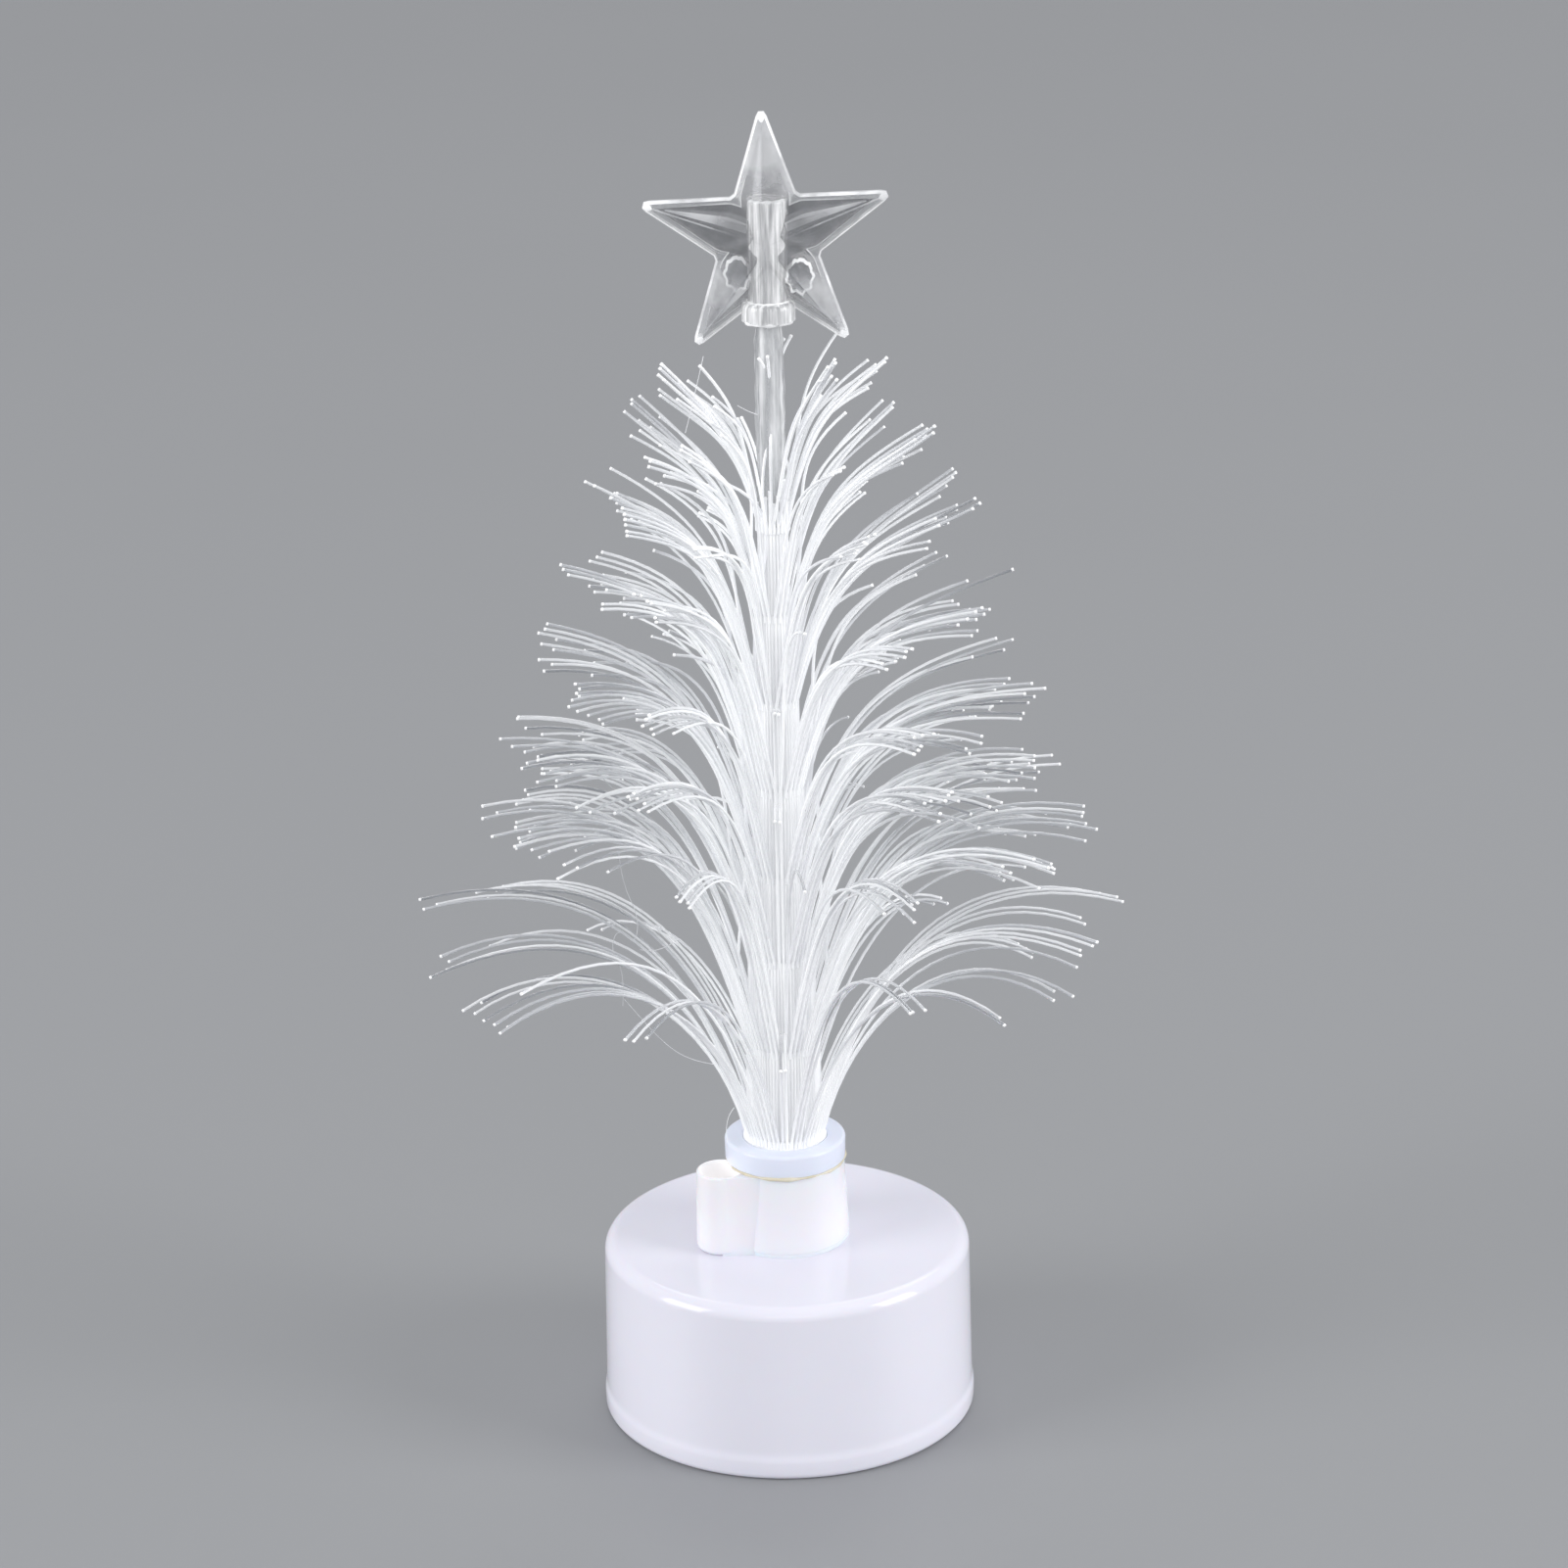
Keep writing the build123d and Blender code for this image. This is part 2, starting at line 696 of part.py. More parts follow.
def star_socket():
    """The closed tube that the stem stands in, with a collar round its mouth."""
    neck_radius = star_neck_diameter / 2
    neck_bottom = star_height - star_neck_bottom
    neck_top = star_height - star_neck_top
    bore_radius = stem_diameter / 2 + stem_fit
    return turned([
        (bore_radius, neck_bottom),
        (neck_radius - star_neck_bevel, neck_bottom),
        (neck_radius, neck_bottom + star_neck_bevel),
        (neck_radius, neck_top),
        (star_socket_diameter / 2, neck_top),
        (star_socket_diameter / 2, star_height + star_socket_top),
        (0, star_height + star_socket_top),
        (0, stem_top),
        (bore_radius, stem_top),
    ])


def star_glue():
    """Two uneven blobs of glue, one on each side of the socket."""
    blobs = []
    for side in (-1, 1):
        start = star_socket_diameter / 2
        points = [
            (side * (start + star_glue_size * u), star_height - star_glue_drop + star_glue_size * v)
            for u, v in star_glue_shares
        ]
        face = make_face(Plane.XZ * Polyline(points, close=True))
        blobs.append(extrude(face, star_glue_thickness / 2, both=True))
    return Compound(children=blobs)


save(housing(), "base_housing")
save(bottom_cover(), "bottom_cover")
save(battery_door(), "battery_door")
save(door_screws(), "door_screws")
for number in range(cell_count):
    save(button_cell(number), f"button_cell_{number + 1}")
save(contact_plate(), "contact_plate")
save(contact_leaf(), "contact_leaf")
save(circuit_board(), "circuit_board")
save(lamp(), "lamp")
save(lamp_leads(), "lamp_leads")
save(switch_shell(), "switch_shell")
save(switch_terminals(), "switch_terminals")
save(switch_knob(), "switch_knob")
for name, shape in leads().items():
    save(shape, name)
save(fibre_holder(), "fibre_holder")
save(fibre_collar(), "fibre_collar")
save(fibre_bundle(), "fibre_bundle")
strands = 0
for tier in range(tiers):
    shape, count = fibre_tier(tier)
    save(shape, f"fibre_tier_{tier + 1}")
    strands += count
print("strands", strands)
save(stem_tube(), "stem_tube")
save(stem_fibres(), "stem_fibres")
star = star_shell()
front_side = Pos(0, -star_radius, star_height) * Box(4 * star_radius, 2 * star_radius, 4 * star_radius)
save(star & front_side, "star_front")
save(star - front_side, "star_back")
save(star_socket(), "star_socket")
save(star_glue(), "star_glue")
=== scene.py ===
import random
from math import atan2, copysign, cos, hypot, pi, radians, sin

import bmesh
import bpy
import numpy as np
from mathutils import Matrix, Vector


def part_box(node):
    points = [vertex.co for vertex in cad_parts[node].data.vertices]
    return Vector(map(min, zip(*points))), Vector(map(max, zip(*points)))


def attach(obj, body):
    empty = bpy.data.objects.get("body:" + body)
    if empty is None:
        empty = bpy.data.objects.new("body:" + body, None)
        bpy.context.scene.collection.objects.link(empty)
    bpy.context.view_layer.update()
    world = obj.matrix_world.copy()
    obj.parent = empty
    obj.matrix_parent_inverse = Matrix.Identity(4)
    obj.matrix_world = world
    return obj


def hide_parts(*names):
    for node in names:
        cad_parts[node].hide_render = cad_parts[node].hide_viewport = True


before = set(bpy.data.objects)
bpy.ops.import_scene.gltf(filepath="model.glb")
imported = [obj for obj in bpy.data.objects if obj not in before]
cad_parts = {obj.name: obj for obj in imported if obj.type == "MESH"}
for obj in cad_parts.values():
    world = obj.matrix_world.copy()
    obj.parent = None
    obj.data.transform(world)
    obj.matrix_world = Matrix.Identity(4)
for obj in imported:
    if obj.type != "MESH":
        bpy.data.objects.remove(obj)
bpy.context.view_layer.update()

# Frame: metres, Z up, origin at the centre of the foot, -Y to the front. Sizes are written in
# millimetres and turned into metres by MM.
MM = 0.001
ROOT = "lamp_body"
dice = random.Random(7)


def node_box(node):
    """The lowest and the highest corner of a CAD node, in millimetres."""
    return [[round(value / MM, 3) for value in corner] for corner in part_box(node)]


# Base, with points of its foot and side as (out, up) and of its dished top as (radius, share)
BASE_HEIGHT = node_box("base_housing")[1][2]
FOOT_RADIUS = 20.0
FOOT_HEIGHT = 2.5
FOOT_ROUND = 0.7
FOOT_EDGE = ((0, -0.6), (-0.03, -0.35), (-0.09, -0.1))
SIDE_FOOT = ((0.05, 0.15), (0.01, 0.45), (0, 0.8))
SIDE_RADIUS_LOW = 19.8
SIDE_RADIUS_TOP = 19.58
SHOULDER_ROUND = 1.4
WALL = 1.5
WALL_GAIN_TOP = 0.3
WALL_GAIN_LOW = 0.2
RIM_WIDTH = 1.9
COVER_RECESS = node_box("bottom_cover")[0][2]
COVER_THICKNESS = 1.4
SPIGOT_HOLE = 4.1
TOP_DISH = 0.12
DISH = ((14.0, 0.4), (9.0, 0.85), (SPIGOT_HOLE, 1))

# Catches that hold the bottom cover
CATCH_COUNT = 4
CATCH_TURN = 45
CATCH_WIDTH = 3.0
CATCH_FOOT = 0.8
CATCH_INNER = 17.5
CATCH_TIP = 18.1
CATCH_OUTER = 18.5

# Tower and its spigot
TOWER_TOP = node_box("fibre_holder")[1][2]
TOWER_RADIUS_FOOT = 6.7
TOWER_RADIUS_TOP = 6.3
TOWER_SINK = 0.15
TOWER_FOOT_ROUND = 0.35
TOWER_FOOT_RISE = 0.45
TOWER_BORE = 5.0
BORE_FLOOR = 20.5
RIM_ROUND = 0.25
RIM_BEVEL = 0.3
RIM_BEVEL_DEPTH = 0.2
CUT_PAST = 0.1
SPIGOT_RADIUS = 4.0
SPIGOT_FOOT = 16.9
SPIGOT_OVERLAP = 0.5
LAMP_WAY_RADIUS = 2.95
LAMP_WAY_FOOT = 16.0
LAMP_WAY_TOP = 21.0

# Side tube and the web that joins it to the tower
SOCKET_X = -6.85
SOCKET_Y = -3.2
SOCKET_RADIUS = 2.65
SOCKET_BORE = 2.15
SOCKET_SWELL = 0.12
SOCKET_FOOT_ROUND = 0.6
SOCKET_FOOT_STEP = 0.5
SOCKET_LIP = 0.3
SOCKET_LIP_CUT = 0.35
WEB_END_X = -2.7
WEB_BACK_Y = -3.0
WEB_START_INSET = 0.03
WEB_END_INSET = 0.2
WEB_DROP = 0.05
INSIDE_SLOT = 1

# Collar and the glue under its rim, with waves of (height, count, shift)
COLLAR_TOP = node_box("fibre_collar")[1][2]
COLLAR_RADIUS_FOOT = 6.4
COLLAR_RADIUS_TOP = 6.45
COLLAR_HOLE = 4.49
COLLAR_SKIRT = 3.4
COLLAR_SKIRT_GAP = 0.04
COLLAR_ROUND_LOW = 0.3
COLLAR_ROUND_TOP = 0.4
COLLAR_ROUND_HOLE = 0.25
GLUE_OFFSET = 0.03
GLUE_SIZE = 0.09
GLUE_WAVES = ((0.05, 3, 1), (0.05, 7, 0), (0.03, 17, 2))
GLUE_LOBE = 0.1
GLUE_TURN = -65

# Stem: a shrink tube over seven fibres, loose below its neck, where it has folds of (depth,
# count round, climb, wander, pace, shift)
STEM_BOTTOM, STEM_TOP = (corner[2] for corner in node_box("stem_tube"))
STEM_RADIUS = node_box("stem_tube")[1][0]
STEM_INSET = 0.02
STEM_SWELL = 0.2
STEM_NECK = 119.6
STEM_NECK_FADE = 1.5
STEM_SIDES = 48
STEM_LEVELS = 110
STEM_FOLDS = ((0.07, 5, 0, 1.1, 0.35, 1), (0.03, 9, 2, 0, 0, pi / 2), (0.06, 2, 1.3, 0, 0.9, 0))
WANDER_PACE = 0.5
STEM_FIBRES_ROUND = 6
STEM_FIBRE_RING = 0.66
STEM_FIBRE_RADIUS = 0.29
STEM_FIBRE_POINTS = 40
STEM_FIBRE_RISE = 0.05
STEM_FIBRE_LESS = 0.3
FIBRE_TWIST, TWIST_PACE = 0.35, 0.09
FIBRE_SWAY, SWAY_PACE = 0.03, 0.7

# Cut fibre ends, tallest towards one side
CUT_COUNT = 26
CUT_START = 0.2
CUT_HEIGHT = 2.6
CUT_GAIN = 2.0
CUT_TURN = -50
CUT_SHARES = (0.55, 1.12)
CUT_OFFSET = 0.17
CUT_DEPTH = 0.6
CUT_STEPS = 4

# Trunk: slices, each narrower than the one below
TRUNK_RISE = 0.8
TRUNK_LENGTH = STEM_BOTTOM - COLLAR_TOP - TRUNK_RISE
TRUNK_DEPTH = 0.6
TRUNK_OVERLAP = 0.2
TRUNK_INSET = 0.02
TRUNK_INSET_TOP = 0.1
TRUNK_LEVELS = 5
TRUNK_SWAY = 0.012
TRUNK_SWAY_PACE = 3
FLUTE_DEPTH = 0.9
FLUTE_STEPS = 5
TRUNK_SLOT = 4

# Fibres: one layer leaves the trunk at each shelf
LEAVE_SHARES = (0, 0.15, 0.3, 0.44, 0.58, 0.72, 0.86, 1.0)
SHELVES = [COLLAR_TOP + TRUNK_RISE + TRUNK_LENGTH * share for share in LEAVE_SHARES]
TIERS = len(SHELVES)
SLICE_RADIUS = 4.46
SLICE_STEP = 0.395
SLICE_RADII = [SLICE_RADIUS - SLICE_STEP * k for k in range(TIERS)]
COUNTS = (58, 52, 46, 40, 34, 30, 24, 18)
RIBBON_SIZES = (3, 2, 4, 1, 3, 2)
FRONT_SPREAD = 0.38
FRONT_SHARE = 0.68
REACH = 39.4
REACH_LEFT = (1.0, 0.8, 0.76, 0.668, 0.576, 0.487, 0.406, 0.312)
REACH_RIGHT = (0.914, 0.883, 0.731, 0.726, 0.642, 0.546, 0.454, 0.343)
RISE_LEFT = (0.361, 0.413, 0.382, 0.376, 0.378, 0.358, 0.315, 0.264)
RISE_RIGHT = (0.369, 0.375, 0.337, 0.317, 0.326, 0.32, 0.307, 0.287)
DROPS = (0.134, 0.067, 0.067, 0.067, 0.067, 0.06, 0.06, 0.052)
TIP_SLOPES = (-16, -8, 0, 8, 18, 28, 38, 50)
LOW_SLOPE = -18
LOW_REACH = 0.84
UNEVEN = 0.02
LEAVE_ANGLE = 14
START_PULL = 0.52
TIP_PULL = 0.42
FIBRE_RADIUS = 0.165
RADIUS_SHARES = (0.9, 1.05)
FIBRE_STEPS = 18
FIBRE_SIDES = 6
ROOT_INSET = 0.28
ROOT_SHIFT = 0.19
ROOT_DEPTH = 0.2
ROOT_TAIL = 0.5
BURR_LENGTHS = (0.24, 0.18)
BURR_SWELLS = (1.13, 1.08)
TONES = (0, 0, 1, 1, 2)
TIP_SLOT = 3

# Ribbons: how their fibres stretch, bend and part, and how sideways ones are doubled
RIBBON_LEVELS = 5
RIBBON_STEP = 0.42
RIBBON_BEND = 0.5
FIBRE_BEND = 0.15
FIBRE_LIFT = 0.06
PEEL_POWER = 1.5
SIDEWAYS = 0.6
STRETCHES = ((0.94, 1.01), (0.78, 0.98))
SECOND_DROP = 0.5

# Steep fibres beside the trunk, for each layer: (share of a turn, share of its reach)
UPRIGHT = (
    (), ((0.06, 0.4), (0.52, 0.3)), ((0.95, 0.35), (0.45, 0.5)), ((0.1, 0.5), (0.57, 0.45)),
    ((0.9, 0.4), (0.42, 0.55), (0.98, 0.6)), ((0.04, 0.5), (0.55, 0.3), (0.48, 0.6)),
    ((0.93, 0.45), (0.08, 0.7), (0.5, 0.45), (0.58, 0.7)),
    ((0.9, 0.14), (0.98, 0.3), (0.05, 0.45), (0.93, 0.6), (0.55, 0.35), (0.44, 0.7), (0.49, 0.2)),
)

# Star: its height is that of its middle, and a tip has corners of (across, back)
SOCKET_DROP = 8.6
STAR_HEIGHT = node_box("star_socket")[0][2] + SOCKET_DROP
STAR_DEPTH = node_box("star_back")[1][1]
STAR_ARMS = 5
STAR_RADIUS = 12.9
STAR_VALLEY = 5.6
STAR_VALLEY_TURN = 0.05
STAR_TURN = 1.6
STAR_TIP = ((-0.55, 0.55), (-0.28, 0.08), (0.28, 0.08), (0.55, 0.55))
STAR_RIM = 0.5
HALF_GAP = 0.012
RIDGE_START = 1.1
RIDGE_BEVEL = 0.09
EDGE_BEVEL = 0.24

# Slots of the star's materials, and the arms whose face before or after the tip has a painted sheen
CLEAR, EDGE_HIGHLIGHT, POCKET_SHADE, PAINTED_SHEEN = range(4)
PAINTED_SHEEN_BEFORE = (0, 2)
PAINTED_SHEEN_AFTER = (0, 3)

# Hollow of an arm, with the band of its side that has a painted sheen
POCKET_STATIONS = 26
POCKET_SIDES = 30
POCKET_START = 0.6
POCKET_END = 1.5
POCKET_WALL = 0.8
POCKET_WALL_FRONT = 0.75
TIP_HALF_WIDTH = 0.3
ROUND_SHARE = 0.3
POINT_SHARE = 0.08
POINT_LEAST = 0.05
POCKET_LEAST = 0.02
WIDTH_POWER = 1.7
DEPTH_POWER = 1.6
POCKET_EDGE_HIGHLIGHT = 0.3
SHEEN_ACROSS = (0.3, 0.62)
SHEEN_ALONG = (0.15, 0.9)
SHEEN_MIRRORED = (1, 3)

# Socket, with its heights from the star's middle and lips of (name, radius, height, size)
SOCKET_TUBE = 2.0
SOCKET_RISE = 4.1
SOCKET_GAP = 0.03
SOCKET_CAP_ROUND = 0.2
NECK_RADIUS = node_box("star_socket")[1][0]
NECK_GAP = 0.02
NECK_TOP = -6.2
NECK_WAY_TOP = -6.15
NECK_ROUND_LOW = 0.5
NECK_ROUND_TOP = 0.8
NECK_STEP = 0.05
WAY_BELOW = 1
LIPS = (("socket_lip", 1.8, 4.0, 0.2), ("neck_lip", 2.45, -8.32, 0.24),
        ("neck_shoulder", 2.15, -6.32, 0.14))
LIP_WAVES = ((0.2, 7, 0), (0.15, 12, 1))

# Glue lumps: side, middle and half sizes, seen from the front
LUMPS = ((-1, (-3.05, -3.2), (1.25, 1.7)), (1, (3.2, -3.6), (1.35, 1.75)))
LUMP_RINGS = 8
LUMP_SIDES = 40
LUMP_FULLNESS = 0.6
LUMP_Y = -1.35
LUMP_DEPTH = 0.4
LUMP_NOTCH = 0.1
LUMP_NOTCHES = 4
LUMP_RIPPLE = 0.05
LUMP_EDGE_RINGS = (2, 3, 4, 5)


# Mesh helpers


def placed(name, data):
    """A new object in the scene."""
    item = bpy.data.objects.new(name, data)
    bpy.context.scene.collection.objects.link(item)
    return item


def link(name, mesh, materials, body=ROOT, smooth=True):
    """An object from a mesh in millimetres, with its materials, riding on a body."""
    mesh.transform(Matrix.Scale(MM, 4))
    piece = placed(name, mesh)
    for item in materials:
        mesh.materials.append(item)
    if smooth:
        mesh.shade_smooth()
    else:
        mesh.shade_flat()
    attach(piece, body)
    return piece


def mesh_from(name, points, faces, slots=None):
    """A mesh from points and faces, with each face's material slot if given."""
    mesh = bpy.data.meshes.new(name)
    mesh.from_pydata([tuple(p) for p in points], [], faces)
    if slots is not None:
        mesh.polygons.foreach_set("material_index", slots)
    mesh.update()
    return mesh


def block(name, lower, upper):
    """A closed block between two rings of four points each."""
    faces = [(3, 2, 1, 0), (4, 5, 6, 7), (0, 1, 5, 4), (1, 2, 6, 5), (2, 3, 7, 6), (3, 0, 4, 7)]
    return mesh_from(name, [*lower, *upper], faces)


def ring_faces(steps, count):
    """Faces between steps of some points each that close into a ring."""
    faces = []
    for i in range(steps):
        j = (i + 1) % steps
        for k in range(count):
            n = (k + 1) % count
            faces.append((i * count + k, j * count + k, j * count + n, i * count + n))
    return faces


def tube_faces(rows, around, first=0, closed=True):
    """Faces of a tube of rows of points: its side row by row, its foot if closed, its end."""
    faces = []
    for i in range(rows - 1):
        a = first + i * around
        for k in range(around):
            n = (k + 1) % around
            faces.append((a + k, a + n, a + around + n, a + around + k))
    if closed:
        faces.append(tuple(range(first, first + around))[::-1])
    end = first + rows * around
    return [*faces, tuple(range(end - around, end))]


def cleaned(mesh, gap, shortest=0):
    """The mesh with points joined across a gap and its faces turned outwards."""
    work = bmesh.new()
    work.from_mesh(mesh)
    bmesh.ops.remove_doubles(work, verts=work.verts, dist=gap)
    if shortest:
        bmesh.ops.dissolve_degenerate(work, edges=work.edges, dist=shortest)
    bmesh.ops.recalc_face_normals(work, faces=work.faces)
    work.to_mesh(mesh)
    work.free()
    return mesh


def lathe(name, outline, steps=128, x=0.0, y=0.0):
    """A closed outline of (radius, height) points turned about an upright axis."""
    points = []
    for i in range(steps):
        a = 2 * pi * i / steps
        points += [(x + r * cos(a), y + r * sin(a), z) for r, z in outline]
    return cleaned(mesh_from(name, points, ring_faces(steps, len(outline))), 1e-4, 1e-5)


def plug(name, radius, low, high, steps=96):
    """A round plug on the axis."""
    return lathe(name, [(0, low), (radius, low), (radius, high), (0, high)], steps)


def waves(a, table):
    """The sum of waves of (height, count, shift) at an angle."""
    return sum(height * sin(count * a + shift) for height, count, shift in table)


def ring(name, radius, height, size, steps=160, sides=8, flatness=0.9):
    """A closed ring whose thickness follows the function of its angle, size(angle)."""
    points = []
    for i in range(steps):
        a = 2 * pi * i / steps
        for k in range(sides):
            b = 2 * pi * k / sides
            r = radius + size(a) * cos(b)
            points.append((r * cos(a), r * sin(a), height + size(a) * flatness * sin(b)))
    return mesh_from(name, points, ring_faces(steps, sides))


def arc(cx, cz, radius, first, last, steps):
    """Outline points on an arc about (cx, cz), from one angle to another in degrees."""
    angles = [radians(first + (last - first) * i / steps) for i in range(steps + 1)]
    return [(cx + radius * cos(a), cz + radius * sin(a)) for a in angles]


def top_round(radius, height, size, steps):
    """Rounds off an outer upper corner of an outline."""
    return arc(radius - size, height - size, size, 0, 90, steps)


def foot_round(radius, height, size, steps):
    """Rounds off an outer lower corner of an outline."""
    return arc(radius - size, height + size, size, -90, 0, steps)


def boolean(mesh, tools, operation="DIFFERENCE"):
    """The mesh after exact booleans with the tool meshes."""
    target = placed("boolean_target", mesh)
    cutters = []
    for tool in tools:
        cutter = placed("boolean_tool", tool)
        cutters.append(cutter)
        modifier = target.modifiers.new("cut", "BOOLEAN")
        modifier.operation = operation
        modifier.solver = "EXACT"
        modifier.object = cutter
    bpy.context.view_layer.update()
    settled = target.evaluated_get(bpy.context.evaluated_depsgraph_get())
    shape = bpy.data.meshes.new_from_object(settled)
    for item in [target] + cutters:
        bpy.data.objects.remove(item)
    return shape


def sharp_by_angle(piece, degrees=32):
    """Smooth shading that keeps the edges above an angle sharp."""
    work = bmesh.new()
    work.from_mesh(piece.data)
    for edge in work.edges:
        if len(edge.link_faces) == 2:
            edge.smooth = edge.calc_face_angle(0) < radians(degrees)
    work.to_mesh(piece.data)
    work.free()
    return piece


# Materials: where the clouds, streaks and edges of a plastic start and end, and its grain
CLOUD_ENDS = (0.3, 0.7)
CLOUD_DETAIL = 4.0
STREAK_ENDS = (0.38, 0.6)
GRAIN_DETAIL = 3.0
GRAIN_DEPTH = 0.05
EDGE_ENDS = (0.3, 0.9)

# Fibres: white up to one distance from the axis and at their greyest past another, with a painted glow
# near the axis that fades out between the two
FIBRE_ENDS = (6, 26)
FIBRE_CLOUD = 6
FIBRE_CLOUD_SCALE = 350.0
FIBRE_GLOW = 0.13
FIBRE_ROUGHNESS = 0.16
FIBRE_IOR = 1.49
COLD_WHITE = (0.95, 0.97, 1.0, 1)


def material(name):
    """A new material with its nodes, links and Principled shader."""
    item = bpy.data.materials.new(name)
    item.use_nodes = True
    return item, item.node_tree.nodes, item.node_tree.links, item.node_tree.nodes["Principled BSDF"]


def noise(item, name, place, scale, detail=2.0):
    """A noise texture whose place comes from a socket."""
    node = item.node_tree.nodes.new("ShaderNodeTexNoise")
    node.name = name
    node.inputs["Scale"].default_value = scale
    node.inputs["Detail"].default_value = detail
    item.node_tree.links.new(place, node.inputs["Vector"])
    return node.outputs["Fac"]


def map_range(item, source, target, start=(0.0, 1.0), end=(0.0, 1.0), smooth=False):
    """Links one socket to another through a map from a start range to an end range."""
    node = item.node_tree.nodes.new("ShaderNodeMapRange")
    if smooth:
        node.interpolation_type = "SMOOTHSTEP"
    node.inputs["From Min"].default_value, node.inputs["From Max"].default_value = start
    node.inputs["To Min"].default_value, node.inputs["To Max"].default_value = end
    item.node_tree.links.new(source, node.inputs["Value"])
    item.node_tree.links.new(node.outputs["Result"], target)
    return node.outputs["Result"]


def plastic(name, low, high, roughness, spread=0.04, grain=0.0, grain_scale=4000.0, scale=60.0,
            upright=1.0, **sockets):
    """Plastic: two close colours in clouds or upright streaks, uneven gloss and a fine grain."""
    item, nodes, links, shader = material(name)
    place = nodes.new("ShaderNodeTexCoord")
    squash = nodes.new("ShaderNodeMapping")
    squash.inputs["Scale"].default_value = (1, 1, upright)
    links.new(place.outputs["Object"], squash.inputs["Vector"])
    clouds = noise(item, "clouds", squash.outputs["Vector"], scale, CLOUD_DETAIL)
    colour = nodes.new("ShaderNodeValToRGB")
    for element, position, value in zip(colour.color_ramp.elements, CLOUD_ENDS, (low, high)):
        element.position = position
        element.color = (*value, 1)
    links.new(clouds, colour.inputs["Fac"])
    links.new(colour.outputs["Color"], shader.inputs["Base Color"])
    gloss = (max(roughness - spread, 0), roughness + spread)
    map_range(item, clouds, shader.inputs["Roughness"], end=gloss)
    if grain:
        bump = nodes.new("ShaderNodeBump")
        bump.inputs["Strength"].default_value = grain
        bump.inputs["Distance"].default_value = GRAIN_DEPTH * MM
        fine = noise(item, "grain", place.outputs["Object"], grain_scale, GRAIN_DETAIL)
        links.new(fine, bump.inputs["Height"])
        links.new(bump.outputs["Normal"], shader.inputs["Normal"])
    for key, value in sockets.items():
        shader.inputs[key.replace("_", " ")].default_value = value
    return item


def edge_weighted(item, facing, grazing):
    """Makes clear plastic less clear towards its edges, as glass reflects more there, and lets its white
    base colour show there as a painted edge highlight.
    """
    nodes = item.node_tree.nodes
    weight = nodes.new("ShaderNodeLayerWeight")
    clear = nodes["Principled BSDF"].inputs["Transmission Weight"]
    map_range(item, weight.outputs["Facing"], clear, EDGE_ENDS, (facing, grazing), smooth=True)


def streaked(item, low, high):
    """Makes the opacity follow the plastic's own clouds or streaks."""
    nodes = item.node_tree.nodes
    alpha = nodes["Principled BSDF"].inputs["Alpha"]
    map_range(item, nodes["clouds"].outputs["Fac"], alpha, STREAK_ENDS, (low, high))


def clearer_inside(item, centre, inner, outer, share):
    """Makes a clear plastic clearer near a point."""
    nodes, links = item.node_tree.nodes, item.node_tree.links
    place = nodes.new("ShaderNodeTexCoord")
    away = nodes.new("ShaderNodeVectorMath")
    away.operation = "DISTANCE"
    away.inputs[1].default_value = [value * MM for value in centre]
    links.new(place.outputs["Object"], away.inputs[0])
    alpha = nodes["Principled BSDF"].inputs["Alpha"]
    times = nodes.new("ShaderNodeMath")
    times.operation = "MULTIPLY"
    links.new(alpha.links[0].from_socket, times.inputs[0])
    map_range(item, away.outputs["Value"], times.inputs[1], (inner * MM, outer * MM), (share, 1))
    links.new(times.outputs["Value"], alpha)


def fibre_plastic(name, near, far, clearness):
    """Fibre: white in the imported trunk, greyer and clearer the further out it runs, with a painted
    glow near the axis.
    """
    item, nodes, links, shader = material(name)
    place = nodes.new("ShaderNodeTexCoord")
    flat = nodes.new("ShaderNodeVectorMath")
    flat.operation = "MULTIPLY"
    flat.inputs[1].default_value = (1, 1, 0)
    links.new(place.outputs["Object"], flat.inputs[0])
    away = nodes.new("ShaderNodeVectorMath")
    away.operation = "LENGTH"
    links.new(flat.outputs["Vector"], away.inputs[0])
    uneven = nodes.new("ShaderNodeMath")
    uneven.operation = "MULTIPLY_ADD"
    uneven.inputs[1].default_value = FIBRE_CLOUD * MM
    clouds = noise(item, "clouds", place.outputs["Object"], FIBRE_CLOUD_SCALE)
    links.new(clouds, uneven.inputs[0])
    links.new(away.outputs["Value"], uneven.inputs[2])
    colour = nodes.new("ShaderNodeValToRGB")
    for element, value in zip(colour.color_ramp.elements, (near, far)):
        element.color = (*value, 1)
    reach = [value * MM for value in FIBRE_ENDS]
    outwards = map_range(item, uneven.outputs["Value"], colour.inputs["Fac"], reach, smooth=True)
    links.new(colour.outputs["Color"], shader.inputs["Base Color"])
    map_range(item, outwards, shader.inputs["Transmission Weight"], end=(0, clearness))
    # Painted glow near the axis, which lifts the shade among the fibres
    map_range(item, outwards, shader.inputs["Emission Strength"], end=(FIBRE_GLOW, 0))
    shader.inputs["Emission Color"].default_value = COLD_WHITE
    shader.inputs["Roughness"].default_value = FIBRE_ROUGHNESS
    shader.inputs["IOR"].default_value = FIBRE_IOR
    return item


